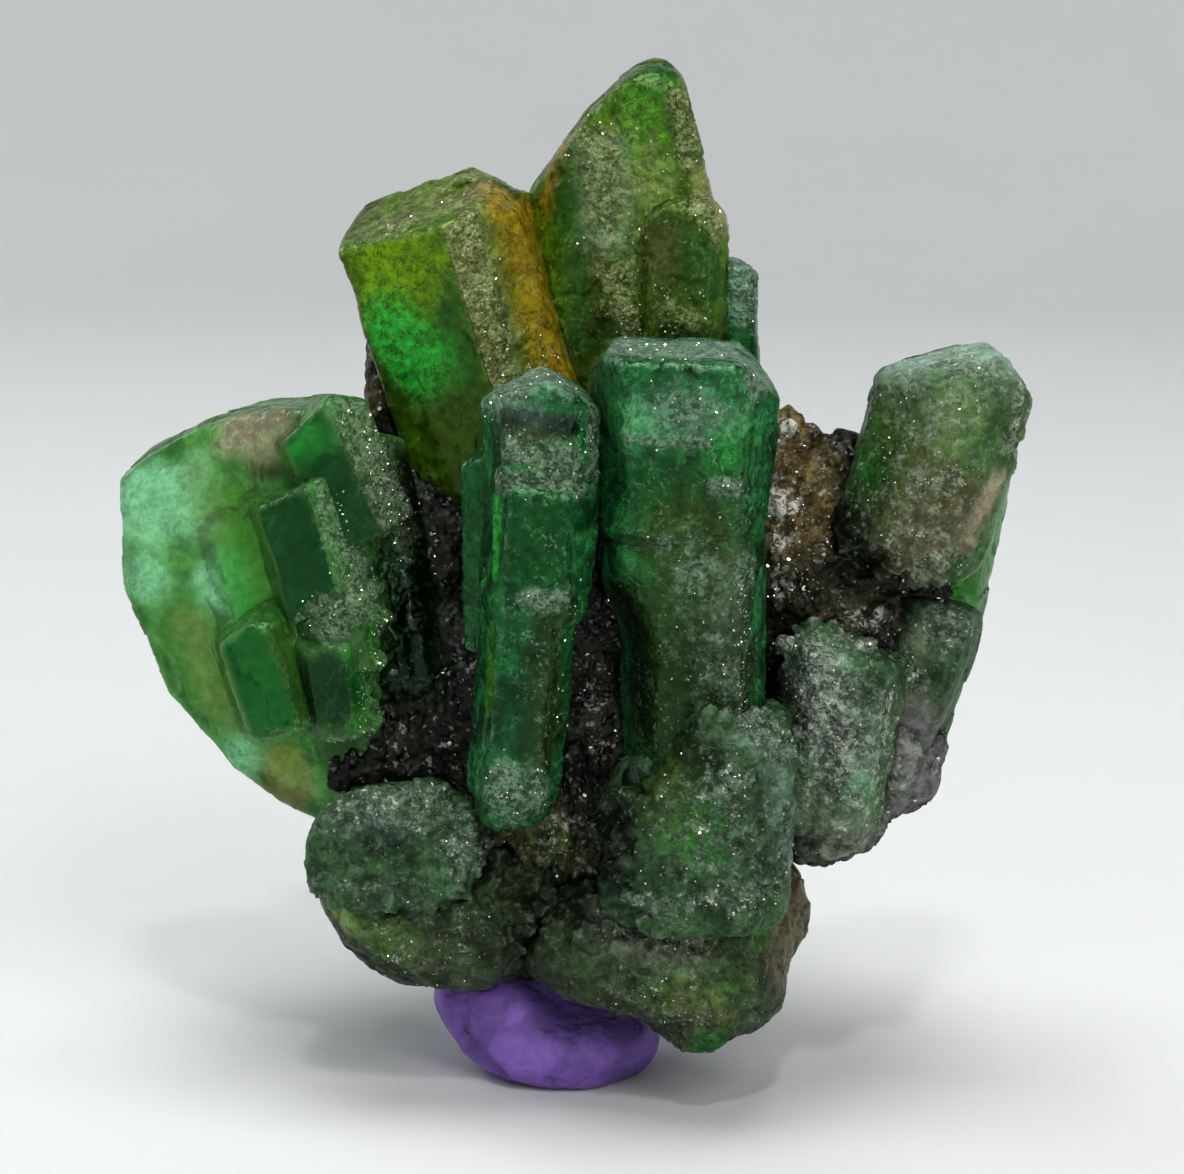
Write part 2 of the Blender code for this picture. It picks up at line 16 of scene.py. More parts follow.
import bmesh
import bpy
import numpy as np
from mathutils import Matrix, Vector


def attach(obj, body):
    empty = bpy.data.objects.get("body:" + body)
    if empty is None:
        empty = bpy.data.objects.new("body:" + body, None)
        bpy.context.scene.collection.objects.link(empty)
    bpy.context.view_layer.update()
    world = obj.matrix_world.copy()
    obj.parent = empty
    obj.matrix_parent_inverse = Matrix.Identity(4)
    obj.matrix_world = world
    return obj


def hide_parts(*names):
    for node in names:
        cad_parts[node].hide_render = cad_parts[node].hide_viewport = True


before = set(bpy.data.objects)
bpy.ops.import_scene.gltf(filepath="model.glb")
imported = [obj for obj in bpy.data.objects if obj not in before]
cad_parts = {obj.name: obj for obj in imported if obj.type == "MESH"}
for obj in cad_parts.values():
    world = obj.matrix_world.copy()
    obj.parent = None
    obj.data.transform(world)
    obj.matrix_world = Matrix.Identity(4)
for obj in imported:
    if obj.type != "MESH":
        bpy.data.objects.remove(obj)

MM = 0.001
PER_METRE = 1000.0
WELD = 1e-6  # Metres within which two points are one.
SQUEEZE = 0.92  # How far the grain is squeezed along a crystal, where 1 is flat.
MELT_ROUNDS = 90  # Rounds of smoothing that a melted place gets.
EDGE_GAIN = -12.0  # How strongly a bulge in millimetres marks an edge.
FULL_TURN = 6.283
BODY = "root"
Colour = tuple[float, float, float]
Point = tuple[float, float, float]
Socket = bpy.types.NodeSocket
log = logging.getLogger("emerald")


class Mark(Enum):
    """What a patch of the surface shows. The value is the name of the attribute that carries it."""

    FROST = "frost"
    CLEAR = "clear"
    MELT = "melt"
    CRUMB = "crumb"
    GLINT = "glint"


class Tint(Enum):
    """A colour that a patch of the surface takes: mostly the pieces' own colours, but the near-black one is
    mostly painted shade, the bright greens are partly painted glow and the dark purple is painted shade.
    """

    # Pale mint: partly the crystal's own colour, partly painted glow where light would shine through thin
    # parts.
    MINT = (0.46, 1.00, 0.64)
    # Bright green: partly the crystal's own colour, partly painted glow, and on the slender crystal a painted
    # edge highlight.
    GRASS = (0.04, 0.60, 0.07)
    MOSS = (0.11, 0.34, 0.030)
    BOTTLE = (0.007, 0.13, 0.020)
    # Yellow-green: partly the crystal's own colour, partly painted glow in the tall crystal's clear window.
    LIME = (0.24, 0.46, 0.008)
    OLIVE = (0.060, 0.11, 0.012)
    AMBER = (0.40, 0.26, 0.010)
    BARK = (0.12, 0.10, 0.055)
    RUST = (0.135, 0.100, 0.036)
    TAN = (0.42, 0.40, 0.16)
    ROSE = (0.70, 0.56, 0.42)
    ICE = (0.42, 0.62, 0.52)
    # Near-black: partly dark crystal colour, mostly painted shade in hollows, crevices and under overhangs.
    SMOKE = (0.003, 0.010, 0.004)
    MAUVE = (0.150, 0.145, 0.150)
    ASH = (0.22, 0.26, 0.19)
    # Dark purple: painted shade in the putty's crease and across its upper front.
    PLUM = (0.055, 0.030, 0.150)


class Slot(Enum):
    """The record's material slots."""

    GREEN = "green_beryl"
    STAINED = "stained_beryl"
    FROSTED = "frosted_beryl"
    SCHIST = "mica_schist"
    PUTTY = "putty"


@dataclass(frozen=True)
class Patch:
    """A patch of surface within `reach` of the line from `start` to `end`.

    `toward` is the azimuth and elevation, in degrees, that the surface has to face to take the mark.
    """

    kind: Mark | Tint
    start: Point
    end: Point
    reach: float
    strength: float = 1.0
    toward: Optional[tuple[float, float]] = None

    def weight(self, points: np.ndarray, normals: np.ndarray) -> np.ndarray:
        """How much of the mark each point takes.

        Args:
            points: Places in millimetres, one row each.
            normals: The surface's directions there.

        Returns:
            A value from 0 to `strength` for each point.
        """
        start, run = np.array(self.start), np.array(self.end) - np.array(self.start)
        share = np.clip((points - start) @ run / max(run @ run, 1e-9), 0.0, 1.0)
        away = np.linalg.norm(points - start - share[:, None] * run, axis=1) / self.reach
        value = fade(away, none=1.4, full=0.2)
        if self.toward is not None:
            value = value * fade(normals @ np.array(facing(*self.toward)), none=0.72, full=0.9)
        return self.strength * value


@dataclass(frozen=True)
class Push:
    """A dent or a swelling: the surface near `centre` moves by `by`, and less further out, up to `reach`."""

    centre: Point
    reach: float
    by: Point

    def move(self, points: np.ndarray) -> np.ndarray:
        """The points, in millimetres, after the push."""
        away = np.linalg.norm(points - np.array(self.centre), axis=1) / self.reach
        return points + fade(away, none=1.0, full=0.0)[:, None] * np.array(self.by)


def fade(value: np.ndarray, none: float, full: float) -> np.ndarray:
    """A smooth step that is 0 at `none` and 1 at `full`."""
    share = np.clip((value - none) / (full - none), 0.0, 1.0)
    return share * share * (3.0 - 2.0 * share)


def facing(azimuth: float, elevation: float) -> Vector:
    """The unit vector that points this way, with azimuth 0 to the right and 270 to the front."""
    turn, rise = math.radians(azimuth), math.radians(elevation)
    return Vector((math.cos(rise) * math.cos(turn), math.cos(rise) * math.sin(turn), math.sin(rise)))


def laid(*items: Any) -> tuple[Patch, ...]:
    """Patches from a short list.

    Args:
        items: Each kind, and after it the rows that have it: the start, the end unless the patch is round,
            the reach, the strength unless it is full, and last, if it matters, where the surface has to face.

    Returns:
        The patches, in the order of the rows.
    """
    made = []
    for item in items:
        if isinstance(item, Enum):
            kind = item
            continue
        start, *rest = item
        end = rest.pop(0) if isinstance(rest[0], tuple) else start
        made.append(Patch(kind, start, end, *rest))
    return tuple(made)


def read(rows: Any, name: str) -> np.ndarray:
    """The vector of this name that each row of a mesh has.

    Args:
        rows: The points of a mesh, or their normals.
        name: Which vector.

    Returns:
        One row for each.
    """
    values = np.zeros(len(rows) * 3, np.float32)
    rows.foreach_get(name, values)
    return values.reshape(-1, 3)


def store(mesh: bpy.types.Mesh, name: str, kind: str, values: np.ndarray) -> None:
    """Stores an attribute of this kind on the points of a mesh, one value or row for each."""
    member = {"FLOAT": "value", "FLOAT_COLOR": "color", "FLOAT_VECTOR": "vector"}[kind]
    mesh.attributes.new(name, kind, "POINT").data.foreach_set(member, values.astype(np.float32).ravel())


def added(name: str, data: Any) -> bpy.types.Object:
    """A new object in the scene.

    Args:
        name: The object's name.
        data: Its mesh, light or lens.

    Returns:
        The object.
    """
    made = bpy.data.objects.new(name, data)
    bpy.context.scene.collection.objects.link(made)
    return made


class Board:
    """Adds nodes to a shader or geometry tree and links them."""

    def __init__(self, tree: bpy.types.NodeTree) -> None:
        """Keeps the tree that the nodes go in."""
        self.tree = tree

    def add(self, kind: str, inputs: dict[Any, Any], **settings: Any) -> bpy.types.Node:
        """Adds one node.

        Args:
            kind: The node's type name.
            inputs: A value or an output socket for each input, by its name or its number.
            settings: The node's own options.

        Returns:
            The node.
        """
        node = self.tree.nodes.new(kind)
        for name, value in settings.items():
            setattr(node, name, value)
        for key, value in inputs.items():
            self.feed(node.inputs[key] if isinstance(key, int) else self.pick(node.inputs, key), value)
        return node

    def feed(self, socket: Socket, value: Any) -> None:
        """Links an input to an output socket, or sets it to a value.

        Args:
            socket: The input.
            value: The output socket or the value.
        """
        if isinstance(value, Socket):
            self.tree.links.new(value, socket)
        else:
            socket.default_value = value

    @staticmethod
    def pick(sockets: Iterable[Socket], name: str) -> Socket:
        """The one of a node's sockets that has this name and is in use."""
        return next(s for s in sockets if s.name == name and s.enabled)

    def math(self, operation: str, *values: Any) -> Socket:
        """A number worked out from one, two or three others."""
        return self.add("ShaderNodeMath", dict(enumerate(values)), operation=operation).outputs[0]

    def times(self, first: Any, second: Any) -> Socket:
        """A number times another."""
        return self.math("MULTIPLY", first, second)

    def fused(self, first: Any, second: Any, third: Any) -> Socket:
        """A number times another, plus a third."""
        return self.math("MULTIPLY_ADD", first, second, third)

    def vector(self, operation: str, *values: Any) -> Socket:
        """A vector worked out from others."""
        return self.add("ShaderNodeVectorMath", dict(enumerate(values)), operation=operation).outputs[0]

    def scaled(self, vector: Any, factor: Any) -> Socket:
        """The vector times a number."""
        return self.add("ShaderNodeVectorMath", {0: vector, "Scale": factor}, operation="SCALE").outputs[0]

    def ramp(self, value: Any, none: float, full: float, low: Any = 0.0, high: Any = 1.0) -> Socket:
        """A smooth step from `low` at `none` to `high` at `full`."""
        inputs = {"Value": value, "From Min": none, "From Max": full, "To Min": low, "To Max": high}
        return self.add("ShaderNodeMapRange", inputs, interpolation_type="SMOOTHSTEP").outputs[0]

    def noise(
        self, place: Any, scale: Any, detail: float = 2.0, rough: float = 0.5, bend: float = 0.0
    ) -> Socket:
        """Soft noise about 0.5.

        Args:
            place: Where it is read, in millimetres.
            scale: Bumps in a millimetre.
            detail: How many finer layers it has.
            rough: How strong the finer layers are.
            bend: How much it is distorted.

        Returns:
            The value socket.
        """
        inputs = {"Vector": place, "Scale": scale, "Detail": detail, "Roughness": rough, "Distortion": bend}
        return self.add("ShaderNodeTexNoise", inputs).outputs[0]

    def warped(self, place: Any, scale: float, by: float, detail: float = 2.0) -> Socket:
        """The place moved about by noise, which tears what is read there."""
        noise = self.add("ShaderNodeTexNoise", {"Vector": place, "Scale": scale, "Detail": detail})
        return self.vector("ADD", place, self.scaled(noise.outputs["Color"], by))

    def cells(self, place: Any, scale: Any, feature: str = "F1") -> Socket:
        """The distance to the nearest cell centre, or to the nearest wall between cells."""
        inputs = {"Vector": place, "Scale": scale}
        return self.add("ShaderNodeTexVoronoi", inputs, feature=feature).outputs["Distance"]

    def grains(self, place: Any, scale: float) -> Socket:
        """A random value for each grain of a crust with this many grains in a millimetre.

        Args:
            place: Where it is read, in millimetres.
            scale: Grains in a millimetre.

        Returns:
            The value socket.
        """
        bent = self.warped(place, 2.0 * scale, 0.6 / scale, 0.0)
        colour = self.add("ShaderNodeTexVoronoi", {"Vector": bent, "Scale": scale}).outputs["Color"]
        return self.add("ShaderNodeSeparateColor", {"Color": colour}).outputs[0]

    def blend(self, share: Any, first: Any, second: Any) -> Socket:
        """A colour between two others."""
        first, second = (end if isinstance(end, Socket) else (*end, 1.0) for end in (first, second))
        return self.add("ShaderNodeMix", {"Factor": share, 6: first, 7: second}, data_type="RGBA").outputs[2]


class Surface(Board):
    """The shader tree of a material, with what every finish here reads."""

    def __init__(self, name: str) -> None:
        """Makes the material and finds its shader and output.

        Args:
            name: The material's name.
        """
        self.made = bpy.data.materials.new(name)
        self.made.use_nodes = True
        super().__init__(self.made.node_tree)
        self.shader = self.tree.nodes["Principled BSDF"]
        self.output = self.tree.nodes["Material Output"]
        place = self.add("ShaderNodeTexCoord", {}).outputs["Object"]
        self.place = self.add("ShaderNodeMapping", {"Vector": place, "Scale": (PER_METRE,) * 3}).outputs[0]

    def stored(self, name: str, output: str = "Fac") -> Socket:
        """An attribute of the mesh: its value, or another of the node's outputs."""
        return self.add("ShaderNodeAttribute", {}, attribute_name=name).outputs[output]

    def ragged(self, mark: Mark, scale: float, spread: float, soft: float = 0.15) -> Socket:
        """A painted mark with a torn edge, from 0 to 1.

        Args:
            mark: The mark.
            scale: Tears in a millimetre.
            spread: How far they reach.
            soft: Half the width of the edge, as a share of the mark's own fall.

        Returns:
            The value socket.
        """
        noise = self.math("SUBTRACT", self.noise(self.place, scale, 3.0, 0.6), 0.5)
        return self.ramp(self.fused(noise, spread, self.stored(mark.value)), 0.5 - soft, 0.5 + soft)

    def tinted(self, colour: Any) -> Socket:
        """The colour under the painted tints, whose edges waver.

        Args:
            colour: The colour that shows where no tint lies.

        Returns:
            The colour socket.
        """
        tint = self.add("ShaderNodeAttribute", {}, attribute_name="tint").outputs
        noise = self.math("SUBTRACT", self.noise(self.place, 0.8, 3.0, 0.6), 0.5)
        return self.blend(self.ramp(self.fused(noise, 0.7, tint["Alpha"]), 0.12, 0.88), colour, tint["Color"])

    def crust(self, coarse: float, small: float) -> Socket:
        """The brightness of a crust of grains of two sizes, given by how many there are in a millimetre."""
        first, second = self.grains(self.place, coarse), self.grains(self.place, small)
        return self.fused(second, 0.5, self.times(first, 0.6))

    def bumped(self, height: Any, depth: float) -> None:
        """Gives the shader a bump of this depth in millimetres."""
        bump = self.add("ShaderNodeBump", {"Height": height, "Strength": 1.0, "Distance": depth * MM})
        self.give(Normal=bump.outputs[0])

    def give(self, **values: Any) -> None:
        """Sets or links inputs of the shader, named with _ for a space."""
        for name, value in values.items():
            self.feed(self.shader.inputs[name.replace("_", " ")], value)


@dataclass(frozen=True)
class Beryl:
    """A green beryl: its colours, how clear it is and how much light its body takes up."""

    name: str
    deep: Colour = (0.007, 0.062, 0.020)
    bright: Colour = (0.034, 0.30, 0.082)
    pale: Colour = (0.42, 0.63, 0.44)
    clarity: float = 0.55
    roughness: float = 0.16
    body: Colour = (0.15, 0.72, 0.36)
    density: float = 170.0
    gloss: Colour = (0.38, 0.72, 0.42)
    crackle: float = 0.25
    cloud: float = 0.6
    mottle: float = 0.65
    # How pale the edges turn: partly wear, partly a painted highlight along the edges.
    rim: float = 0.5

    def material(self) -> bpy.types.Material:
        """Builds the material.

        Returns:
            A see-through material with zones, streaks, crackle, frost and stain, pale edges that are partly
            painted highlight, and painted glints in the frost.
        """
        surface = Surface(self.name)
        place, grain = surface.place, surface.stored("grain", "Vector")
        blend, noise, ramp, times = surface.blend, surface.noise, surface.ramp, surface.times
        frost = surface.ragged(Mark.FROST, 1.1, 1.5, 0.24)
        unclear = ramp(surface.stored(Mark.CLEAR.value), 0.2, 0.7, 1.0, 0.0)
        streaks = noise(grain, 1.5, 2.0, 0.5)
        colour = blend(ramp(noise(place, 0.30, 3.0, 0.6, 0.8), 0.38, 0.64), self.deep, self.bright)
        colour = blend(ramp(streaks, 0.45, 0.7, 0.0, 0.45), colour, self.bright)
        mottled = noise(place, 1.5, 4.0, 0.82, 0.4)
        light = ramp(mottled, 0.30, 0.70, 1.0 - self.mottle, 1.0 + self.mottle)
        colour = surface.scaled(surface.tinted(colour), light)

        walls = surface.cells(surface.warped(place, 0.9, 2.2, 1.0), 0.55, "DISTANCE_TO_EDGE")
        veins = times(times(ramp(walls, 0.06, 0.0), ramp(mottled, 0.50, 0.58)), self.crackle)
        flecks = ramp(noise(place, 3.6, 3.0, 0.75), 0.55, 0.66)
        flecks = times(times(flecks, ramp(noise(place, 0.60, 3.0, 0.65), 0.42, 0.62)), self.cloud)
        # Pale edge lines: partly wear, partly a painted highlight along the edges.
        worn = times(ramp(surface.stored("edge"), 0.45, 1.0), ramp(mottled, 0.40, 0.56))
        marks = times(surface.math("MAXIMUM", veins, flecks), unclear)
        colour = blend(surface.math("MAXIMUM", marks, times(worn, self.rim)), colour, self.pale)
        tone = surface.crust(2.8, 6.5)
        crust = blend(ramp(tone, 0.25, 0.80), tuple(0.20 * c for c in self.pale), self.pale)
        # Painted glints: the brightest grains of the frost crust turn near white.
        crust = blend(ramp(tone, 0.92, 0.98, 0.0, 0.8), crust, (0.80, 0.84, 0.70))
        colour = blend(times(frost, ramp(mottled, 0.32, 0.60, 0.35, 0.95)), colour, crust)

        rough = surface.fused(mottled, 0.14, surface.fused(frost, 0.25, self.roughness))
        crusted = ramp(surface.stored(Mark.FROST.value), 0.25, 0.75, 0.0, 2.0)
        relief = times(noise(place, 4.5, 1.0), crusted)
        height = surface.fused(noise(place, 2.6, 2.0, 0.5), 0.45, times(streaks, 0.7))
        surface.bumped(surface.fused(height, ramp(unclear, 0.0, 1.0, 0.3, 1.0), relief), 0.12)
        surface.give(Base_Color=colour, Roughness=rough, IOR=1.58, Transmission_Weight=self.clarity)
        surface.give(Specular_IOR_Level=0.26, Specular_Tint=(*self.gloss, 1.0))
        body = {"Color": (*self.body, 1.0), "Density": self.density}
        volume = surface.add("ShaderNodeVolumeAbsorption", body)
        surface.feed(surface.output.inputs["Volume"], volume.outputs[0])
        return surface.made


@dataclass(frozen=True)
class Schist:
    """Dark mica schist with brown, frosted and mauve-grey patches."""

    name: str = "mica_schist"
    dark: Colour = (0.003, 0.006, 0.004)
    brown: Colour = (0.020, 0.024, 0.013)
    silver: Colour = (0.50, 0.52, 0.48)

    def material(self) -> bpy.types.Material:
        """Builds the material.

        Returns:
            An opaque, glittering rock.
        """
        surface = Surface(self.name)
        ramp = surface.ramp
        mottled = surface.noise(surface.place, 0.9, 4.0, 0.78, 0.5)
        colour = surface.tinted(surface.blend(ramp(mottled, 0.42, 0.62), self.dark, self.brown))
        colour = surface.scaled(colour, ramp(mottled, 0.30, 0.70, 0.25, 1.7))
        tone = surface.crust(1.9, 4.5)
        frost = surface.times(surface.ragged(Mark.FROST, 1.2, 1.2), ramp(tone, 0.45, 0.75))
        bright = surface.math("MAXIMUM", frost, ramp(tone, 0.95, 0.99, 0.0, 0.45))
        colour = surface.blend(bright, colour, self.silver)
        surface.bumped(surface.fused(surface.cells(surface.place, 2.2), 0.8, tone), 0.2)
        rough = ramp(mottled, 0.35, 0.65, 0.26, 0.6)
        surface.give(Base_Color=colour, Roughness=rough, IOR=1.6, Specular_IOR_Level=0.22)
        return surface.made


@dataclass(frozen=True)
class Glint:
    """A near-mirror flake of mica or druse."""

    name: str
    colour: Colour
    roughness: float = 0.16
    metallic: float = 0.75

    def material(self) -> bpy.types.Material:
        """Builds the material.

        Returns:
            A bright flake finish with a little variation from flake to flake.
        """
        surface = Surface(self.name)
        tint = surface.ramp(surface.noise(surface.place, 1.7, 1.0), 0.35, 0.65)
        colour = surface.blend(tint, self.colour, tuple(0.35 * c for c in self.colour))
        surface.give(Base_Color=colour, Roughness=self.roughness, Metallic=self.metallic)
        return surface.made


@dataclass(frozen=True)
class Putty:
    """Kneaded purple putty with dust and finger marks."""

    name: str = "putty"
    colour: Colour = (0.27, 0.15, 0.52)
    dark: Colour = (0.15, 0.09, 0.32)
    dust: Colour = (0.36, 0.26, 0.55)

    def material(self) -> bpy.types.Material:
        """Builds the material.

        Returns:
            A soft satin finish.
        """
        surface = Surface(self.name)
        place, noise, ramp = surface.place, surface.noise, surface.ramp
        worked = ramp(noise(place, 0.35, 3.0, 0.55, 0.8), 0.35, 0.68)
        colour = surface.tinted(surface.blend(worked, self.colour, self.dark))
        colour = surface.blend(ramp(noise(place, 6.0, 3.0, 0.7), 0.6, 0.72, 0.0, 0.22), colour, self.dust)
        surface.bumped(noise(place, 2.4, 4.0, 0.6, 0.6), 0.12)
        rough = ramp(noise(place, 1.2, 3.0), 0.3, 0.7, 0.34, 0.52)
        surface.give(Base_Color=colour, Roughness=rough, Subsurface_Weight=0.25, Specular_IOR_Level=0.35)
        surface.give(Subsurface_Radius=(0.9, 0.4, 1.0), Subsurface_Scale=0.8 * MM)
        return surface.made


@dataclass(frozen=True)
class Card:
    """The plain pale card that the floor is made of."""

    name: str = "card"
    colour: Colour = (0.74, 0.75, 0.74)

    def material(self) -> bpy.types.Material:
        """Builds the material.

        Returns:
            A matt finish that hardly varies.
        """
        surface = Surface(self.name)
        tint = surface.noise(surface.place, 0.02, 3.0)
        colour = surface.blend(tint, self.colour, tuple(0.96 * c for c in self.colour))
        surface.give(Base_Color=colour, Roughness=0.7)
        return surface.made


class Tree(Board):
    """A geometry tree with named inputs, made once and used by many pieces."""

    def __init__(self, name: str, sizes: dict[str, Any]) -> None:
        """Makes the group and its sockets.

        Args:
            name: The group's name.
            sizes: Each named input, with the value that tells its type.
        """
        group = bpy.data.node_groups.new(name, "GeometryNodeTree")
        super().__init__(group)
        kinds = {float: "Float", int: "Int", str: "String"}
        inputs = {title: kinds[type(value)] for title, value in sizes.items()}
        for title, kind in {"Geometry": "Geometry", **inputs, "Material": "Material"}.items():
            group.interface.new_socket(title, in_out="INPUT", socket_type="NodeSocket" + kind)
        group.interface.new_socket("Geometry", in_out="OUTPUT", socket_type="NodeSocketGeometry")
        self.given = group.nodes.new("NodeGroupInput")
        self.result = group.nodes.new("NodeGroupOutput")

    def size(self, name: str) -> Socket:
        """The socket of a named input."""
        return self.given.outputs[name]

    def stored(self, name: Any, kind: str = "FLOAT") -> Socket:
        """An attribute of the mesh."""
        node = self.add("GeometryNodeInputNamedAttribute", {"Name": name}, data_type=kind)
        return self.pick(node.outputs, "Attribute")

    def angles(self, x: Any, y: Any, z: Any) -> Socket:
        """A vector of three numbers."""
        return self.add("ShaderNodeCombineXYZ", {"X": x, "Y": y, "Z": z}).outputs[0]

    def end(self, shape: Socket) -> None:
        """Ends the tree in real geometry with its material.

        Args:
            shape: The geometry that the tree has made.
        """
        real = self.add("GeometryNodeRealizeInstances", {"Geometry": shape}).outputs[0]
        dressed = self.add("GeometryNodeSetMaterial", {"Geometry": real, "Material": self.size("Material")})
        self.feed(self.result.inputs["Geometry"], dressed.outputs[0])

    def use(self, target: bpy.types.Object, sizes: dict[str, Any], material: bpy.types.Material) -> None:
        """Runs the tree on an object and gives the object the plain mesh that it makes.

        Args:
            target: The object, whose mesh is replaced.
            sizes: The value of each named input.
            material: What the result is made of.
        """
        modifier = target.modifiers.new(self.tree.name, "NODES")
        modifier.node_group = self.tree
        values = {**sizes, "Material": material}
        for item in self.tree.interface.items_tree:
            if item.in_out == "INPUT" and item.name in values:
                modifier[item.identifier] = values[item.name]
        settle(target)


def settle(target: bpy.types.Object) -> None:
    """Gives the object the mesh that its modifiers make, and removes them.

    Args:
        target: The object.
    """
    bpy.context.view_layer.update()
    evaluated = target.evaluated_get(bpy.context.evaluated_depsgraph_get())
    mesh = bpy.data.meshes.new_from_object(evaluated)
    target.modifiers.clear()
    target.data = mesh
    mesh.name = target.name


@dataclass(frozen=True)
class Weathering:
    """How far a surface departs from its solid, in millimetres, and how many bumps there are in one."""

    grow: float = 0.14
    wave: float = 0.16
    wave_scale: float = 0.30
    streak: float = 0.05
    streak_scale: float = 1.1
    ledge: float = 0.07
    grit: float = 0.05
    grit_scale: float = 2.2
    crack: float = 0.05
    wear: float = 0.15
    chip: float = 1.3
    blur: int = 4
    rubble: float = 0.7

    def sizes(self, seed: int) -> dict[str, Any]:
        """The tree's named inputs, which are the fields and the seed."""
        fields = {name.replace("_", " ").title(): value for name, value in vars(self).items()}
        return {**fields, "Seed": float(seed)}


def weathering_tree() -> Tree:
    """Builds the tree that wears edges, chips them and roughens faces.

    Returns:
        The tree, whose inputs are the sizes of Weathering.
    """
    tree = Tree("weathering", Weathering().sizes(0))
    cells, noise, ramp, size, times = tree.cells, tree.noise, tree.ramp, tree.size, tree.times
    position = tree.add("GeometryNodeInputPosition", {}).outputs[0]
    normal = tree.add("GeometryNodeInputNormal", {}).outputs[0]
    frost, clear, crumb, melt = map(tree.stored, ("frost", "clear", "crumb", "melt"))
    shift = tree.angles(size("Seed"), 0.0, size("Seed"))
    place = tree.vector("ADD", tree.scaled(position, PER_METRE), shift)
    streaky = tree.vector("ADD", tree.stored("grain", "FLOAT_VECTOR"), shift)

    def layer(value: Any, height: Any) -> Socket:
        """A height from noise about 0.5."""
        return times(tree.fused(value, 2.0, -1.0), height)

    def inward(rounds: Any) -> Socket:
        """The way from each point to where it lies after this many rounds of smoothing.

        Args:
            rounds: How many rounds.

        Returns:
            The vector socket, in metres.
        """
        inputs = {"Value": position, "Iterations": rounds}
        smooth = tree.add("GeometryNodeBlurAttribute", inputs, data_type="FLOAT_VECTOR").outputs[0]
        return tree.vector("SUBTRACT", smooth, position)

    wave = layer(noise(place, size("Wave Scale"), 2.0), size("Wave"))
    streak = layer(noise(streaky, size("Streak Scale"), 1.0, 0.5), size("Streak"))
    steps = tree.math("SNAP", times(noise(place, 0.22, 1.0, 0.5, 1.0), 6.0), 1.0)
    ledge = times(tree.math("PINGPONG", steps, 2.0), size("Ledge"))
    grit = layer(noise(place, size("Grit Scale"), 1.0, 0.6), size("Grit"))
    grit = times(times(grit, tree.fused(frost, 2.0, 0.6)), ramp(clear, 0.0, 1.0, 1.0, 0.1))
    walls = cells(tree.warped(place, 0.5, 1.6), 0.42, "DISTANCE_TO_EDGE")
    crack = times(ramp(walls, 0.045, 0.0), size("Crack"))
    heights = tree.math("ADD", tree.math("ADD", wave, streak), tree.math("ADD", ledge, grit))
    heights = tree.math("ADD", tree.math("SUBTRACT", heights, crack), size("Grow"))
    torn = tree.warped(place, 1.1, 1.0)
    small = ramp(cells(torn, 1.7), 0.7, 0.1, -0.5, 1.0)
    lumps = tree.fused(small, 0.4, ramp(cells(torn, 0.75), 0.75, 0.1, -0.5, 1.0))
    heights = tree.math("ADD", heights, times(times(lumps, crumb), size("Rubble")))

    worn = inward(size("Blur"))
    share = tree.fused(ramp(noise(place, 0.55, 3.0, 0.6), 0.50, 0.66), size("Chip"), size("Wear"))
    pull = tree.vector("ADD", tree.scaled(worn, share), tree.scaled(inward(MELT_ROUNDS), melt))
    push = tree.scaled(normal, times(heights, MM))
    offset = {"Geometry": size("Geometry"), "Offset": tree.vector("ADD", pull, push)}
    moved = tree.add("GeometryNodeSetPosition", offset).outputs[0]
    bulge = tree.add("ShaderNodeVectorMath", {0: worn, 1: normal}, operation="DOT_PRODUCT").outputs["Value"]
    bulge = times(times(bulge, EDGE_GAIN * PER_METRE), tree.math("DIVIDE", 4.0, size("Blur")))
    bulge = times(bulge, tree.math("SUBTRACT", 1.0, melt))
    marked = {"Geometry": moved, "Name": "edge", "Value": bulge}
    stored = tree.add("GeometryNodeStoreNamedAttribute", marked, data_type="FLOAT", domain="POINT")
    tree.end(stored.outputs[0])
    return tree


def spread_tree() -> Tree:
    """Builds the tree that scatters small six-sided flakes over a surface.

    Returns:
        The tree. Its inputs are the flakes in a square millimetre, their least and greatest width, their
        thickness, how far they tip, the attribute that carries them and a seed.
    """
    sizes = {"Count": 1.0, "Small": 1.0, "Large": 1.0, "Thickness": 1.0, "Tip": 1.0, "Carrier": "", "Seed": 0}
    tree = Tree("flakes", sizes)
    size, tip = tree.size, tree.size("Tip")

    def drawn(kind: str, least: Socket, most: Socket) -> Socket:
        """A random value for each flake."""
        inputs = {"Min": least, "Max": most, "Seed": size("Seed")}
        return tree.pick(tree.add("FunctionNodeRandomValue", inputs, data_type=kind).outputs, "Value")

    density = tree.times(tree.times(tree.stored(size("Carrier")), size("Count")), PER_METRE * PER_METRE)
    inputs = {"Mesh": size("Geometry"), "Density": density, "Seed": size("Seed")}
    points = tree.add("GeometryNodeDistributePointsOnFaces", inputs, distribute_method="RANDOM").outputs
    inputs = {"Vertices": 6, "Radius": 0.5 * MM, "Depth": MM}
    flake = tree.add("GeometryNodeMeshCylinder", inputs, fill_type="NGON").outputs["Mesh"]
    low = tree.times(tip, -1.0)
    turn = drawn("FLOAT_VECTOR", tree.angles(low, low, 0.0), tree.angles(tip, tip, FULL_TURN))
    inputs = {"Rotation": points["Rotation"], "Rotate By": turn}
    turned = tree.add("FunctionNodeRotateRotation", inputs, rotation_space="LOCAL").outputs[0]
    wide = drawn("FLOAT", size("Small"), size("Large"))
    scale = tree.angles(wide, tree.times(wide, 0.8), size("Thickness"))
    inputs = {"Points": points["Points"], "Instance": flake, "Rotation": turned, "Scale": scale}
    tree.end(tree.add("GeometryNodeInstanceOnPoints", inputs).outputs[0])
    return tree


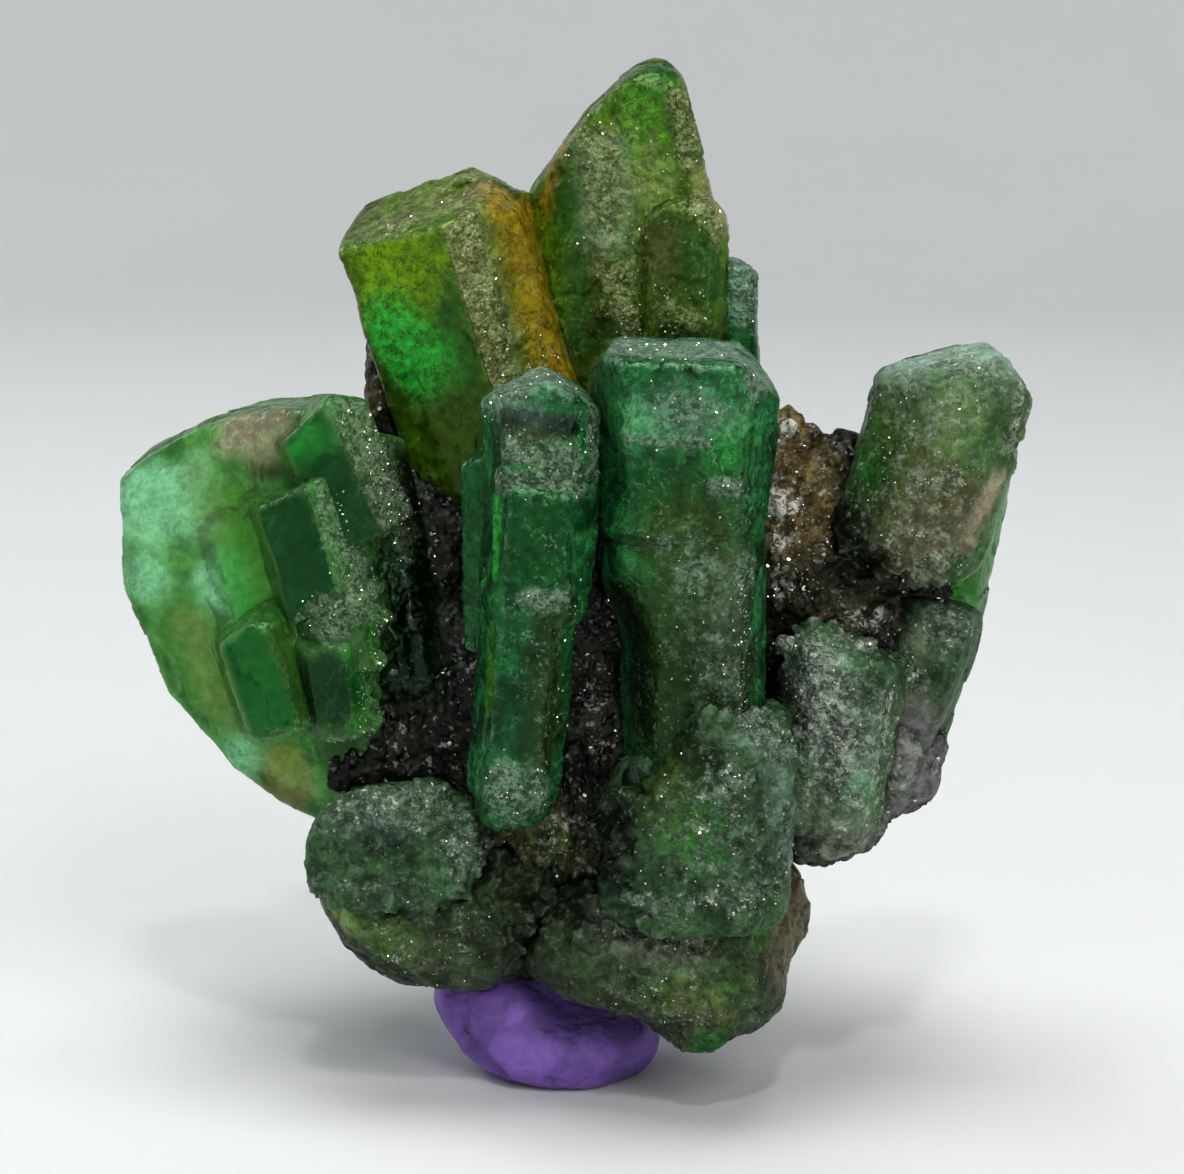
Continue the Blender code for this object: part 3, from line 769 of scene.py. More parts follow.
@dataclass
class Piece:
    """A piece that stands for one solid of the frame."""

    node: str
    slot: Slot
    finish: Any
    foot: Point = (0.0, 0.0, 0.0)
    head: Point = (0.0, 0.0, 1.0)
    patches: tuple[Patch, ...] = ()
    pushes: tuple[Push, ...] = ()
    weathering: Weathering = Weathering()
    voxel: float = 0.17
    smooth: int = 3
    seed: int = 0
    made: Optional[bpy.types.Object] = field(default=None, repr=False)

    def build(self, tree: Tree) -> bpy.types.Object:
        """Makes the piece and dresses it.

        Args:
            tree: The weathering tree.

        Returns:
            The piece, riding on the body in place of its node.
        """
        self.made = self.copy()
        self.paint()
        tree.use(self.made, self.weathering.sizes(self.seed), self.finish.material())
        self.made.data.shade_smooth()
        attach(self.made, BODY)
        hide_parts(self.node)
        log.info("%s: %d faces", self.made.name, len(self.made.data.polygons))
        return self.made

    def copy(self) -> bpy.types.Object:
        """A closed and evenly meshed copy of the node, a little smoothed, with its dents and swellings.

        Returns:
            The copy, in the scene.
        """
        mesh = bmesh.new()
        mesh.from_mesh(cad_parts[self.node].data)
        bmesh.ops.remove_doubles(mesh, verts=mesh.verts[:], dist=WELD)
        data = bpy.data.meshes.new(self.node + "_skin")
        mesh.to_mesh(data)
        mesh.free()
        made = added(data.name, data)
        remesh = made.modifiers.new("Even", "REMESH")
        remesh.mode = "VOXEL"
        remesh.voxel_size = self.voxel * MM
        smooth = made.modifiers.new("Smooth", "SMOOTH")
        smooth.factor = 0.5
        smooth.iterations = self.smooth
        settle(made)
        points = read(made.data.vertices, "co") / MM
        for push in self.pushes:
            points = push.move(points)
        made.data.vertices.foreach_set("co", (points * MM).astype(np.float32).ravel())
        made.data.update()
        return made

    def paint(self) -> None:
        """Stores each mark and the crystal's grain, which is the place squeezed along it, on the mesh."""
        mesh = self.made.data
        points, normals = read(mesh.vertices, "co") / MM, read(mesh.vertex_normals, "vector")
        marks = {mark: np.zeros(len(points)) for mark in Mark}
        tint = np.zeros((len(points), 4))
        for patch in self.patches:
            share = patch.weight(points, normals)
            if isinstance(patch.kind, Mark):
                marks[patch.kind] = np.maximum(marks[patch.kind], share)
                continue
            under = tint[:, 3] * (1.0 - share)
            total = np.maximum(under + share, 1e-6)
            colour = np.array(patch.kind.value)
            tint[:, :3] = (tint[:, :3] * under[:, None] + colour * share[:, None]) / total[:, None]
            tint[:, 3] = under + share
        marks[Mark.GLINT] = np.maximum(3.0 * marks[Mark.GLINT], 0.8 * marks[Mark.FROST])
        for mark, value in marks.items():
            store(mesh, mark.value, "FLOAT", value)
        store(mesh, "tint", "FLOAT_COLOR", tint)
        axis = np.array((Vector(self.head) - Vector(self.foot)).normalized())
        store(mesh, "grain", "FLOAT_VECTOR", points - SQUEEZE * (points @ axis)[:, None] * axis)


EMERALD = Beryl("emerald")
FAN_EMERALD = Beryl(
    "fan_emerald", deep=(0.06, 0.22, 0.04), bright=(0.17, 0.46, 0.12), pale=(0.50, 0.70, 0.44),
    clarity=0.68, density=70.0, body=(0.40, 0.92, 0.58), crackle=0.12, cloud=0.45, mottle=0.30, rim=0.22,
)
OLIVE_BERYL = Beryl(
    "olive_beryl", deep=(0.04, 0.10, 0.006), bright=(0.13, 0.30, 0.014), pale=(0.55, 0.62, 0.30),
    body=(0.55, 0.75, 0.10), density=110.0, gloss=(0.62, 0.75, 0.30),
)
THUMB_BERYL = Beryl(
    "thumb_beryl", deep=(0.040, 0.105, 0.030), bright=(0.10, 0.23, 0.070), pale=(0.42, 0.50, 0.36),
    clarity=0.35, roughness=0.28, body=(0.35, 0.80, 0.30), gloss=(0.55, 0.72, 0.48), cloud=0.8, mottle=0.45,
)
FROSTED_BERYL = Beryl(
    "frosted_beryl", deep=(0.020, 0.050, 0.022), bright=(0.060, 0.140, 0.058), pale=(0.24, 0.32, 0.24),
    clarity=0.2, roughness=0.36, body=(0.35, 0.75, 0.35), gloss=(0.50, 0.62, 0.46), cloud=0.8, mottle=0.6,
)
LOBE_BERYL = Beryl(
    "lobe_beryl", deep=(0.018, 0.034, 0.016), bright=(0.052, 0.088, 0.038), pale=(0.20, 0.25, 0.18),
    clarity=0.15, roughness=0.34, body=(0.45, 0.75, 0.35), gloss=(0.55, 0.62, 0.46), cloud=0.75, mottle=0.6,
)
RIME_BERYL = replace(FROSTED_BERYL, name="rime_beryl", pale=(0.42, 0.48, 0.40), mottle=0.45)
CRISP = Weathering()
WORN = Weathering(wave=0.22, wear=0.9, chip=2.2, ledge=0.10, grit=0.09, blur=9)
KNOBBLY = Weathering(
    wave=0.55, wave_scale=0.26, wear=1.0, chip=1.5, ledge=0.10, grit=0.16, grit_scale=1.5, streak=0.02,
    crack=0.16, blur=14,
)


@dataclass
class Assembly:
    """A group of pieces that belong together."""

    made: list[bpy.types.Object] = field(default_factory=list, repr=False)

    def pieces(self) -> list[Piece]:
        """The pieces, not built yet."""
        raise NotImplementedError

    def build(self, tree: Tree) -> list[bpy.types.Object]:
        """Builds every piece.

        Args:
            tree: The weathering tree.

        Returns:
            The pieces' objects.
        """
        self.made = [piece.build(tree) for piece in self.pieces()]
        return self.made


@dataclass
class Uprights(Assembly):
    """The crystals that stand up in the middle of the cluster."""

    voxel: float = 0.15

    def pieces(self) -> list[Piece]:
        """The five crystals, front to back."""
        return [self.thick(), self.slender(), self.tall(), self.pointed(), self.side()]

    def thick(self) -> Piece:
        """The wide clear head on its speckled shaft.

        Returns:
            The piece, not built yet.
        """
        patches = laid(
            Tint.OLIVE, ((7.8, -11.2, 34.6), (8.6, -10.6, 24), 4.2, 0.8),
            # Painted shade: down the left of the shaft under the head, and low on the shaft above the front
            # lobe.
            Tint.SMOKE, ((4.4, -9.2, 31), (4.8, -9.2, 24), 1.7, 0.8),
            Tint.ASH, ((9.6, -10.4, 32.4), (10.4, -10.2, 25), 1.5, 0.3),
            Tint.SMOKE, ((9, -10.4, 27), (8.6, -10.4, 22), 3, 0.6),
            # Bright green and mint spots on the head: partly its own colour, partly painted glow.
            Tint.GRASS, ((10.2, -11.6, 39.8), 2.2, 0.45), ((4.4, -11.2, 41), 1.6, 0.4),
            Tint.MINT, ((5.6, -11.6, 41.4), (9.6, -11.6, 41.8), 2, 0.34),
            Tint.BOTTLE, ((4.8, -11.4, 38.3), 2, 0.4), ((6.6, -11.5, 43.2), 1.5, 0.4),
            # The up-facing top takes a pale tint: partly frost colour, partly painted light on the top.
            Tint.ICE, ((3.5, -7, 45), (11, -7, 44), 4, 0.75, (298, 87)), ((11.2, -10.2, 43.2), 1.4, 0.7),
            Tint.BOTTLE, ((9, -11.6, 38.4), (6, -11.6, 37.6), 1.6, 0.45),
            Mark.FROST, ((7.6, -10.8, 33.6), (10, -10.6, 24), 2.6, 0.45),
                ((3.5, -8, 45), (11, -8, 44), 4, 0.55, (298, 87)),
                ((6.6, -11.6, 41.8), (9, -11.6, 41.2), 1.5, 0.58),
                ((4.6, -11.6, 40), (8.6, -11.6, 39.8), 0.5, 0.75), ((11.2, -10.4, 43.3), 1.4, 0.9),
                ((9.2, -11.5, 37.4), (10.4, -11.3, 37.2), 0.8, 0.9),
                ((6.2, -11.2, 34.5), (8.2, -11, 35), 0.45), ((10.4, -9.9, 32.2), 1.6),
            Mark.GLINT, ((10.8, -9.6, 31.6), (10.8, -9.6, 24), 0.9, 0.8),
            Mark.MELT, ((3.8, -11, 34.6), (11.6, -11, 34.6), 3), ((3.8, -11, 34.6), (3.4, -5, 34.6), 3),
                ((7.6, -10.6, 32), (8.2, -10.2, 22), 5, 0.8),
        )
        pushes = (
            Push((4.2, -8.8, 32.6), 5, (-1.6, -1, 0)),
            Push((8.4, -10.6, 32.4), 4.4, (0, -0.7, 0)),
            Push((11.4, -8.8, 33.4), 3, (0.4, -0.3, 0)),
            Push((3.4, -9.6, 37.6), 2.2, (0.35, 0.3, 0)),
            Push((4.3, -10.2, 33.3), 1.7, (-0.5, -0.8, 0)),
            Push((4.3, -10, 34.3), 1.1, (-0.2, -0.6, 0)),
        )
        return Piece(
            "thick_crystal", Slot.GREEN, EMERALD, (8.3, -6.6, 14.0), (7.35, -7.1, 44.2), patches, pushes,
            CRISP, self.voxel, seed=3,
        )

    def slender(self) -> Piece:
        """The stacked prism with a bright left edge, which is a painted highlight, and a free frosted tip.

        Returns:
            The piece, not built yet.
        """
        patches = laid(
            Tint.BOTTLE, ((-3.9, -8.3, 38), (-3.9, -8.3, 28), 1.2, 0.7),
                ((0, -11.9, 36), (-0.4, -11.9, 33), 2.2, 0.8),
            Tint.SMOKE, ((-0.4, -12, 30), (-1, -12, 23), 1.7, 0.55),
            Tint.OLIVE, ((0.6, -11.8, 30), (0, -11.8, 22), 1.6, 0.5),
            # Painted highlight: the two thin green lines down the left edge stand in for light caught along
            # it.
            Tint.GRASS, ((-2.8, -10.6, 36.8), (-2.8, -10.8, 32.4), 0.6, 0.8),
            Tint.MOSS, ((-3.2, -11.4, 29.4), (-3, -11.4, 25), 0.7, 0.8),
            Tint.SMOKE, ((-2.2, -11.2, 41.1), (1, -11.2, 40.7), 0.9, 0.95),
            Tint.TAN, ((-1.6, -11.2, 39.6), (1.2, -11.2, 38.8), 1.1, 0.5),
            Tint.ICE, ((-0.6, -8.5, 43.4), 3.2),
            Mark.FROST, ((-2.4, -9, 42.8), (1.2, -9, 43.4), 2.4, 0.95),
                ((-1.6, -11.2, 39.5), (1.4, -11.2, 38.7), 1.2, 0.9),
                ((-2.6, -10.9, 37.6), (2, -11.1, 37.4), 0.9), ((2.3, -9.6, 42), (2.3, -9.6, 38), 1, 0.85),
                ((-1.2, -12, 31), (1.4, -11.8, 31.4), 0.8, 0.8), ((-1.9, -12, 20.3), 2.4),
            Mark.CRUMB, ((-1.7, -11, 19.6), 2, 0.6),
            Mark.GLINT, ((1.8, -11, 31.6), (0.6, -11.4, 24), 0.6, 0.9),
                ((2.2, -10.4, 42), (2.2, -10.4, 38.6), 0.8, 0.9),
            Mark.MELT, ((-2.4, -9.8, 30.6), (1.6, -9.8, 30.8), 1.4, 0.7), ((-1.9, -10, 19), 2.6, 0.9),
        )
        pushes = (Push((-0.4, -11.6, 39), 1.6, (0, 0.45, 0)),)
        return Piece(
            "slender_crystal", Slot.GREEN, EMERALD, (-2.0, -9.8, 19.0), (-0.2, -8.5, 43.0), patches, pushes,
            CRISP, self.voxel, seed=7,
        )

    def tall(self) -> Piece:
        """The leaning prism with its clear window, its frosted band and its amber side.

        Returns:
            The piece, not built yet.
        """
        window, band, right, end = (253, -5), (299, 8), (345, 10), (240, 68)
        patches = laid(
            Tint.BOTTLE, ((-5.6, -1.2, 47), (-4.4, -1.2, 40), 1.9, 0.75, window),
            Tint.OLIVE, ((-6, -1.2, 40.5), (-4, -1.2, 37), 2.6, 0.6, window),
            # Yellow-green and bright green in the clear window: partly its own colour, partly painted glow of
            # light through it.
            Tint.LIME, ((-8.6, -1, 48.4), 3, 1, window),
            Tint.GRASS, ((-9.1, -0.6, 44.9), 2.2, 1, window), ((-7.4, -0.9, 43), 2.4, 0.95, window),
            Tint.TAN, ((-5.8, -1, 51.6), (-3, -1.9, 41), 2.2, 0.75, band),
            Tint.BOTTLE, ((-2.8, -1.2, 46), (-1.6, -1.2, 40), 0.9, 0.6),
            Tint.AMBER, ((-3.4, 0.8, 53.4), (0.4, 0.4, 39.6), 1.7),
                ((-3, 1.6, 53), (1.6, 1.6, 40), 3.4, 1, right),
            Tint.TAN, ((-9.6, 2, 51.6), (-4, 2.4, 53.8), 4.6, 0.42, end),
            Tint.BOTTLE, ((-9, 5, 53), (-6.4, 5.8, 54.4), 1, 0.9),
            Tint.ROSE, ((-4.2, 3.2, 54.6), 0.8),
            Tint.AMBER, ((-1.2, 0.6, 41), (0.4, 1, 38), 1.8, 0.8),
                ((-5, 6.6, 50), (-2.6, 6.8, 40), 1.6, 0.6),
            Tint.BOTTLE, ((-8.6, 6.4, 48), (-6.6, 6.6, 38), 2, 0.6),
            Mark.CLEAR, ((-9, -1, 50), (-5, -1, 37), 5.5, 1, window),
            Mark.FROST, ((-5.6, -1, 51.6), (-3, -1.9, 41), 1.8, 1, band),
                ((-9.6, 0.4, 50.8), (-4, 0.4, 53), 2.4, 0.55, end),
                ((-6.6, 7, 51), (-4.6, 7, 40), 1.2, 0.8),
            Mark.GLINT, ((-3.4, -1.8, 50), (-2.2, -2, 40), 0.8),
                ((-0.4, -0.6, 43), (0.8, -0.4, 38), 1.2, 0.8),
        )
        return Piece(
            "tall_crystal", Slot.STAINED, OLIVE_BERYL, (-1.5, 2.4, 33.2), (-7.2, 2.4, 51.7), patches, (),
            CRISP, self.voxel, seed=11,
        )

    def pointed(self) -> Piece:
        """The broad blade with the highest tip and the rough one on its right.

        Returns:
            The piece, not built yet.
        """
        patches = laid(
            Tint.OLIVE, ((1.6, 2.1, 53.6), (1.4, 1.9, 44), 2.2, 0.95),
            Tint.BOTTLE, ((1.2, 2.1, 52.5), (1.4, 1.9, 44), 1.2, 0.6),
            Tint.AMBER, ((2.4, 3, 57.4), (-1.2, 3.2, 49), 0.9, 0.9),
            Tint.LIME, ((-0.9, 3, 49.6), (-0.8, 3, 42), 1.9, 0.9),
            Tint.MOSS, ((5.4, 1.6, 57.4), (5.9, 1.5, 52.6), 1.8, 0.9),
            Tint.BOTTLE, ((6.1, 2.2, 59.2), 1.7, 0.9),
            Tint.TAN, ((5.6, 1.4, 53), 2, 0.5),
            Tint.BARK, ((6.6, -0.2, 49.3), 2.4, 0.7),
            Tint.OLIVE, ((4, 1.7, 48.2), (8.6, -0.6, 47.4), 1.8, 0.5),
            # Painted shade in the crevice at the blade's foot, just above the thick crystal's head.
            Tint.SMOKE, ((3.6, 1.7, 45), (9, -0.6, 43.8), 1.9, 0.6),
            Tint.BOTTLE, ((8.6, -0.4, 49.4), (9.6, -0.4, 47), 1.6, 0.7),
            Tint.AMBER, ((9.4, 3, 56.4), (10, 3, 52.6), 1.4, 0.9),
            Tint.TAN, ((9.2, 1.6, 53.4), (9.4, 1.2, 51), 1.3, 0.9),
            Tint.ROSE, ((10, 3, 50.8), 1.5),
            Tint.ICE, ((2.9, 1.7, 54.8), (3.4, 1.7, 50.4), 1.6, 0.5),
            Tint.MOSS, ((6, 8.6, 57), (4, 9, 46), 2.6, 0.6),
            Tint.SMOKE, ((3, 9, 42), (8, 9, 40), 2.6, 0.7),
            Tint.AMBER, ((9.6, 6, 54), (9.6, 7, 42), 1.6, 0.6),
            Mark.FROST, ((2.8, 1.7, 55.4), (3.3, 1.7, 51.6), 1.7, 0.75),
                ((3, 1.7, 50.4), (3.6, 1.7, 47.8), 1.7, 0.55), ((5.4, 1.5, 54.6), (5, 1.6, 48), 2.2, 0.45),
                ((7.4, 1.3, 58), (8, 1.3, 54.4), 1, 0.7), ((8.4, 0.4, 51.4), (9.2, 0.4, 50.6), 1.2, 0.8),
                ((3.8, 1.6, 47.4), (4.8, 1.6, 44.8), 1.2, 0.9), ((6, -0.7, 46.2), (9, -0.7, 45.2), 1, 0.6),
                ((4.4, 8.8, 55), (2.8, 9, 42), 1.5, 0.8),
            Mark.GLINT, ((3.6, 1.6, 47.6), (4.2, 1.4, 44.4), 0.4), ((5, 1.4, 47.4), (5.6, 0.6, 44.4), 0.4),
                ((6.6, -0.6, 47), (7.4, -0.8, 44.6), 0.8), ((8.6, -0.6, 46.6), (10, -0.6, 44.6), 0.8, 0.8),
                ((5, 8.8, 50), (5.4, 9, 40), 1, 0.8),
        )
        return Piece(
            "pointed_crystal", Slot.STAINED, OLIVE_BERYL, (4.2, 5.4, 35.0), (6.1, 5.0, 59.6), patches, (),
            WORN, 0.16, seed=13,
        )

    def side(self) -> Piece:
        """The small crackled prism on the blade's right.

        Returns:
            The piece, not built yet.
        """
        patches = laid(
            Tint.ICE, ((11, 1.4, 48.6), (11.2, 1.4, 46.2), 1.8, 0.55),
            Tint.BOTTLE, ((11.2, 1.4, 43.8), 1.8, 0.8),
            Mark.FROST, ((11.2, 1.4, 48.6), (11.2, 1.4, 46), 1.8, 0.8),
        )
        return Piece(
            "side_crystal", Slot.GREEN, EMERALD, (11.0, 2.8, 35.5), (10.7, 2.4, 48.5), patches, seed=17,
        )


@dataclass
class Fan(Assembly):
    """The thin plate at the left with the prisms that step down across it."""

    voxel: float = 0.16

    def pieces(self) -> list[Piece]:
        """The one crystal.

        Returns:
            The pieces, not built yet.
        """
        front, left, right = (259, -4), (202, 4), (320, 6)
        plate = laid(
            # Mint on the plate's left: partly its pale colour, partly painted glow of light through the thin
            # plate.
            Tint.MINT, ((-23.2, -1.9, 34.8), 3), ((-23.4, -2, 30.4), 1.9, 0.8), ((-19, -2.7, 30.3), 2),
                ((-17.8, -2.9, 20.2), 1.6, 0.9), ((-20.4, -2.6, 36.8), (-20, -2.6, 34), 1.6, 0.5),
            Tint.TAN, ((-20.2, -2.6, 37), (-19.4, -2.6, 34), 1.4, 0.3),
            Tint.MOSS, ((-18.4, -2.8, 35), (-17.4, -2.9, 30), 2.2, 0.6),
            Tint.OLIVE, ((-15.8, -3.2, 37.8), (-14, -3.4, 38.6), 1.5, 0.75),
            Tint.MOSS, ((-21.4, -2.4, 28), (-19, -2.6, 24), 2.2, 0.5),
            Tint.TAN, ((-19.8, -2.6, 24.4), (-18.8, -2.8, 22.4), 1.4, 0.4),
            Tint.GRASS, ((-18.4, -3, 31.4), (-17.6, -3, 29), 1.1, 0.6),
            Tint.MOSS, ((-17.4, -3, 35), (-16.4, -3, 30), 1.3, 0.5),
            Tint.RUST, ((-16.6, -3, 37.2), 1.6, 0.35),
            Tint.ROSE, ((-18.2, -2.9, 39.2), (-15.4, -3.1, 39), 1.7, 0.9),
            Tint.TAN, ((-20.9, -2.4, 27.8), (-20.2, -2.4, 26.4), 1.3, 0.45),
            Tint.AMBER, ((-15.5, -3.3, 19.8), 1.7, 0.7),
            Tint.TAN, ((-15, -3.4, 18.4), 1.8, 0.9),
            Mark.CLEAR, ((-22, -2, 34), (-17, -2.6, 26), 6, 0.75),
        )
        prisms = laid(
            Tint.BOTTLE, ((-13.4, -5.3, 39), (-10.8, -5.3, 33), 2.6, 0.9, front),
                ((-14.7, -6.2, 35), (-13.2, -6.2, 30), 3, 0.95, front),
                ((-17.3, -6.3, 28), (-15.8, -6.4, 23), 2.8, 0.9, front),
            Tint.GRASS, ((-14.1, -5.3, 39), 1.6, 0.5, front),
            Tint.MOSS, ((-15, -5, 39), (-18.4, -5, 23), 2.6, 0.75, left),
            Tint.TAN, ((-10.8, -4.6, 40), (-8.8, -4.4, 34), 2.2, 0.5, right),
            Tint.OLIVE, ((-15.1, -6.2, 28.4), (-14, -6.2, 23), 1.6, 0.75, right),
            Tint.BOTTLE, ((-12.5, -6.8, 25.2), 2.4, 0.95),
            # Painted shade along the fan's right edge, in the hollow beside the slender crystal; the first
            # patch darkens a spot low on the prisms.
            Tint.SMOKE, ((-12.5, -6.8, 24.6), 2.4, 0.6), ((-7.4, -2.6, 37), (-8.4, -4, 22), 2.6, 0.9),
            Mark.CLEAR, ((-13.8, -5.6, 39), (-16.5, -6.2, 24), 3.4, 1, front),
            Mark.FROST, ((-10.8, -4.6, 40), (-8.8, -4.4, 34), 2.4, 1, right),
                ((-12.4, -5.4, 35.6), (-11, -5.2, 31), 1.8, 1, right),
                ((-13, -6.6, 28.8), (-11, -6, 29.8), 1.7, 0.95),
                ((-15.8, -5.6, 22.2), (-11, -6.2, 21.8), 1),
                ((-9.9, -4.4, 31.4), (-10.4, -5.4, 24), 0.7, 0.5),
            Mark.CRUMB, ((-9, -4, 31), (-9.6, -5, 22), 1.8, 0.8),
            Mark.GLINT, ((-10.2, -5, 31), (-10.6, -6, 22), 0.9),
                ((-9.6, -4.6, 40), (-9, -4.2, 34), 1.4, 0.8),
                ((-12, -5.4, 35.6), (-11, -5.4, 30), 0.5, 0.8),
        )
        plant = Piece(
            "fan_crystal", Slot.GREEN, FAN_EMERALD, (-12.9, -4.0, 29.6), (-14.7, -4.0, 36.0),
            plate + prisms, (), CRISP, self.voxel, seed=19,
        )
        return [plant]


@dataclass
class Shoulder(Assembly):
    """The crystals at the right."""

    voxel: float = 0.17

    def pieces(self) -> list[Piece]:
        """The thumb, the thin prism behind it, the dark one under it and the frosted stub."""
        return [self.stout(), self.edge(), self.corner(), self.frosted()]

    def stout(self) -> Piece:
        """The thumb with its frosted ridge and brown lower end.

        Returns:
            The piece, not built yet.
        """
        patches = laid(
            Tint.OLIVE, ((18.8, -6, 41), (20, -6.8, 36.4), 2.2, 0.6),
            Tint.TAN, ((23, -6.8, 40.4), 2.2, 0.3),
            Tint.OLIVE, ((20.6, -7.2, 36), (23.6, -7.2, 35.6), 2.4, 0.5),
            Tint.ROSE, ((25, -6, 37), (23.2, -6.6, 33.4), 0.9, 0.5),
            Tint.BARK, ((21.6, -7.4, 35), (19.6, -6.4, 32.4), 2.9, 0.85),
            # The top ridge takes a pale tint: partly frost colour, partly painted light on the top.
            Tint.ICE, ((20.4, -3.4, 44.2), (25.4, -3.4, 44.6), 2.8, 0.95),
            Tint.ASH, ((19, -5.4, 43), (21.4, -6.4, 40.6), 1.6, 0.4),
            Tint.RUST, ((21.4, -7, 38), (22.6, -7.2, 36.4), 1.8, 0.35),
            Tint.ICE, ((21.6, -5.6, 43.4), (25.2, -5.8, 42.6), 1.8, 0.6),
            Tint.BOTTLE, ((18.4, -5.6, 37.4), 1.8, 0.5),
            # Painted shade low at the left, where the thumb meets the hollow of the rock.
            Tint.SMOKE, ((17.4, -4.8, 34.4), (18.6, -6.2, 31.4), 2.2, 0.9),
            Mark.FROST, ((21.4, -6.8, 42), (21, -7, 34), 4.2, 0.42),
                ((21.8, -6.2, 43), (25.2, -6.2, 42.4), 1.4, 0.7),
                ((20.4, -3.6, 44.2), (25.4, -3.6, 44.2), 2.4, 0.55), ((22.3, -7.3, 37), 1.1, 0.9),
                ((25.8, -6, 42), (25.8, -6, 39), 1.1, 0.7), ((22.4, -7, 32.6), (20.4, -6.8, 32), 1.2, 0.6),
            Mark.CRUMB, ((24.6, -6.4, 43.6), (26.4, -5.4, 37), 1.6, 0.35),
                ((17.6, -5.4, 32), (22.6, -6.6, 32), 2.2, 0.8),
        )
        return Piece(
            "stout_crystal", Slot.STAINED, THUMB_BERYL, (20.1, -3.4, 31.6), (23.5, -3.4, 43.6), patches, (),
            WORN, self.voxel, seed=23,
        )

    def edge(self) -> Piece:
        """The bright thin prism.

        Returns:
            The piece, not built yet.
        """
        patches = laid(
            Tint.MINT, ((25.6, 0.2, 39), (25, 0.2, 33), 1.8, 0.4),
            Tint.BOTTLE, ((24.6, 0.2, 34), (23.4, 0.2, 27), 2, 0.5),
            Mark.FROST, ((24.6, -0.4, 33), (23.6, -0.4, 29), 1.4, 0.4),
        )
        return Piece(
            "edge_crystal", Slot.GREEN, FAN_EMERALD, (23.0, 1.8, 25.5), (25.5, 1.8, 38.0), patches, (),
            WORN, self.voxel, seed=29,
        )

    def corner(self) -> Piece:
        """The dark prism under the thumb.

        Returns:
            The piece, not built yet.
        """
        patches = laid(
            Tint.OLIVE, ((21.6, -4, 26.6), (21, -4, 24), 2.2, 0.35),
            Tint.ASH, ((23, -3.6, 28.4), (21.4, -4, 27.6), 1.5, 0.45),
            Tint.MAUVE, ((20.8, -4, 22.2), (20, -4, 20), 2.4, 0.8),
            Mark.FROST, ((22.6, -4, 28.2), 2.2, 0.8), ((20.4, -4.4, 26.4), (21, -4.4, 24.8), 1.2, 0.6),
        )
        return Piece(
            "corner_crystal", Slot.GREEN, FROSTED_BERYL, (19.6, -1.2, 20.0), (22.4, -1.4, 29.0), patches,
            (), WORN, self.voxel, seed=31,
        )

    def frosted(self) -> Piece:
        """The frosted stub with a bright lower right.

        Returns:
            The piece, not built yet.
        """
        patches = laid(
            Tint.GRASS, ((18.2, -7.2, 19.4), 2.2, 0.3),
            Tint.ICE, ((15.4, -7.9, 26), (17, -7.9, 21.6), 3.2, 0.35),
            Tint.ASH, ((14, -7, 18.2), (17.6, -7, 17), 1.8, 0.5),
            # Painted shade at the left end, in the crevice beside the front lobe.
            Tint.SMOKE, ((13.2, -6.4, 20), 1.4, 0.6),
            Mark.FROST, ((15, -7.8, 26), (16.2, -7.8, 22), 2.6, 0.85), ((16.6, -7.6, 21), 6, 0.55),
                ((19.2, -6.8, 24.8), (18.4, -6.6, 19.6), 0.5),
                ((14.2, -5.6, 27.2), (17.6, -5.6, 26.8), 1.3, 0.9),
            Mark.CRUMB, ((16, -7.4, 21), 5, 0.3), ((14, -4.6, 27.4), (18.6, -4.6, 26.6), 2),
        )
        pushes = (Push((15.8, -4.8, 26.6), 3.8, (0, -0.3, 1.5)),)
        return Piece(
            "frosted_crystal", Slot.FROSTED, RIME_BERYL, (15.6, -4.6, 16.6), (17.0, -5.2, 26.8), patches,
            pushes, WORN, self.voxel, seed=37,
        )


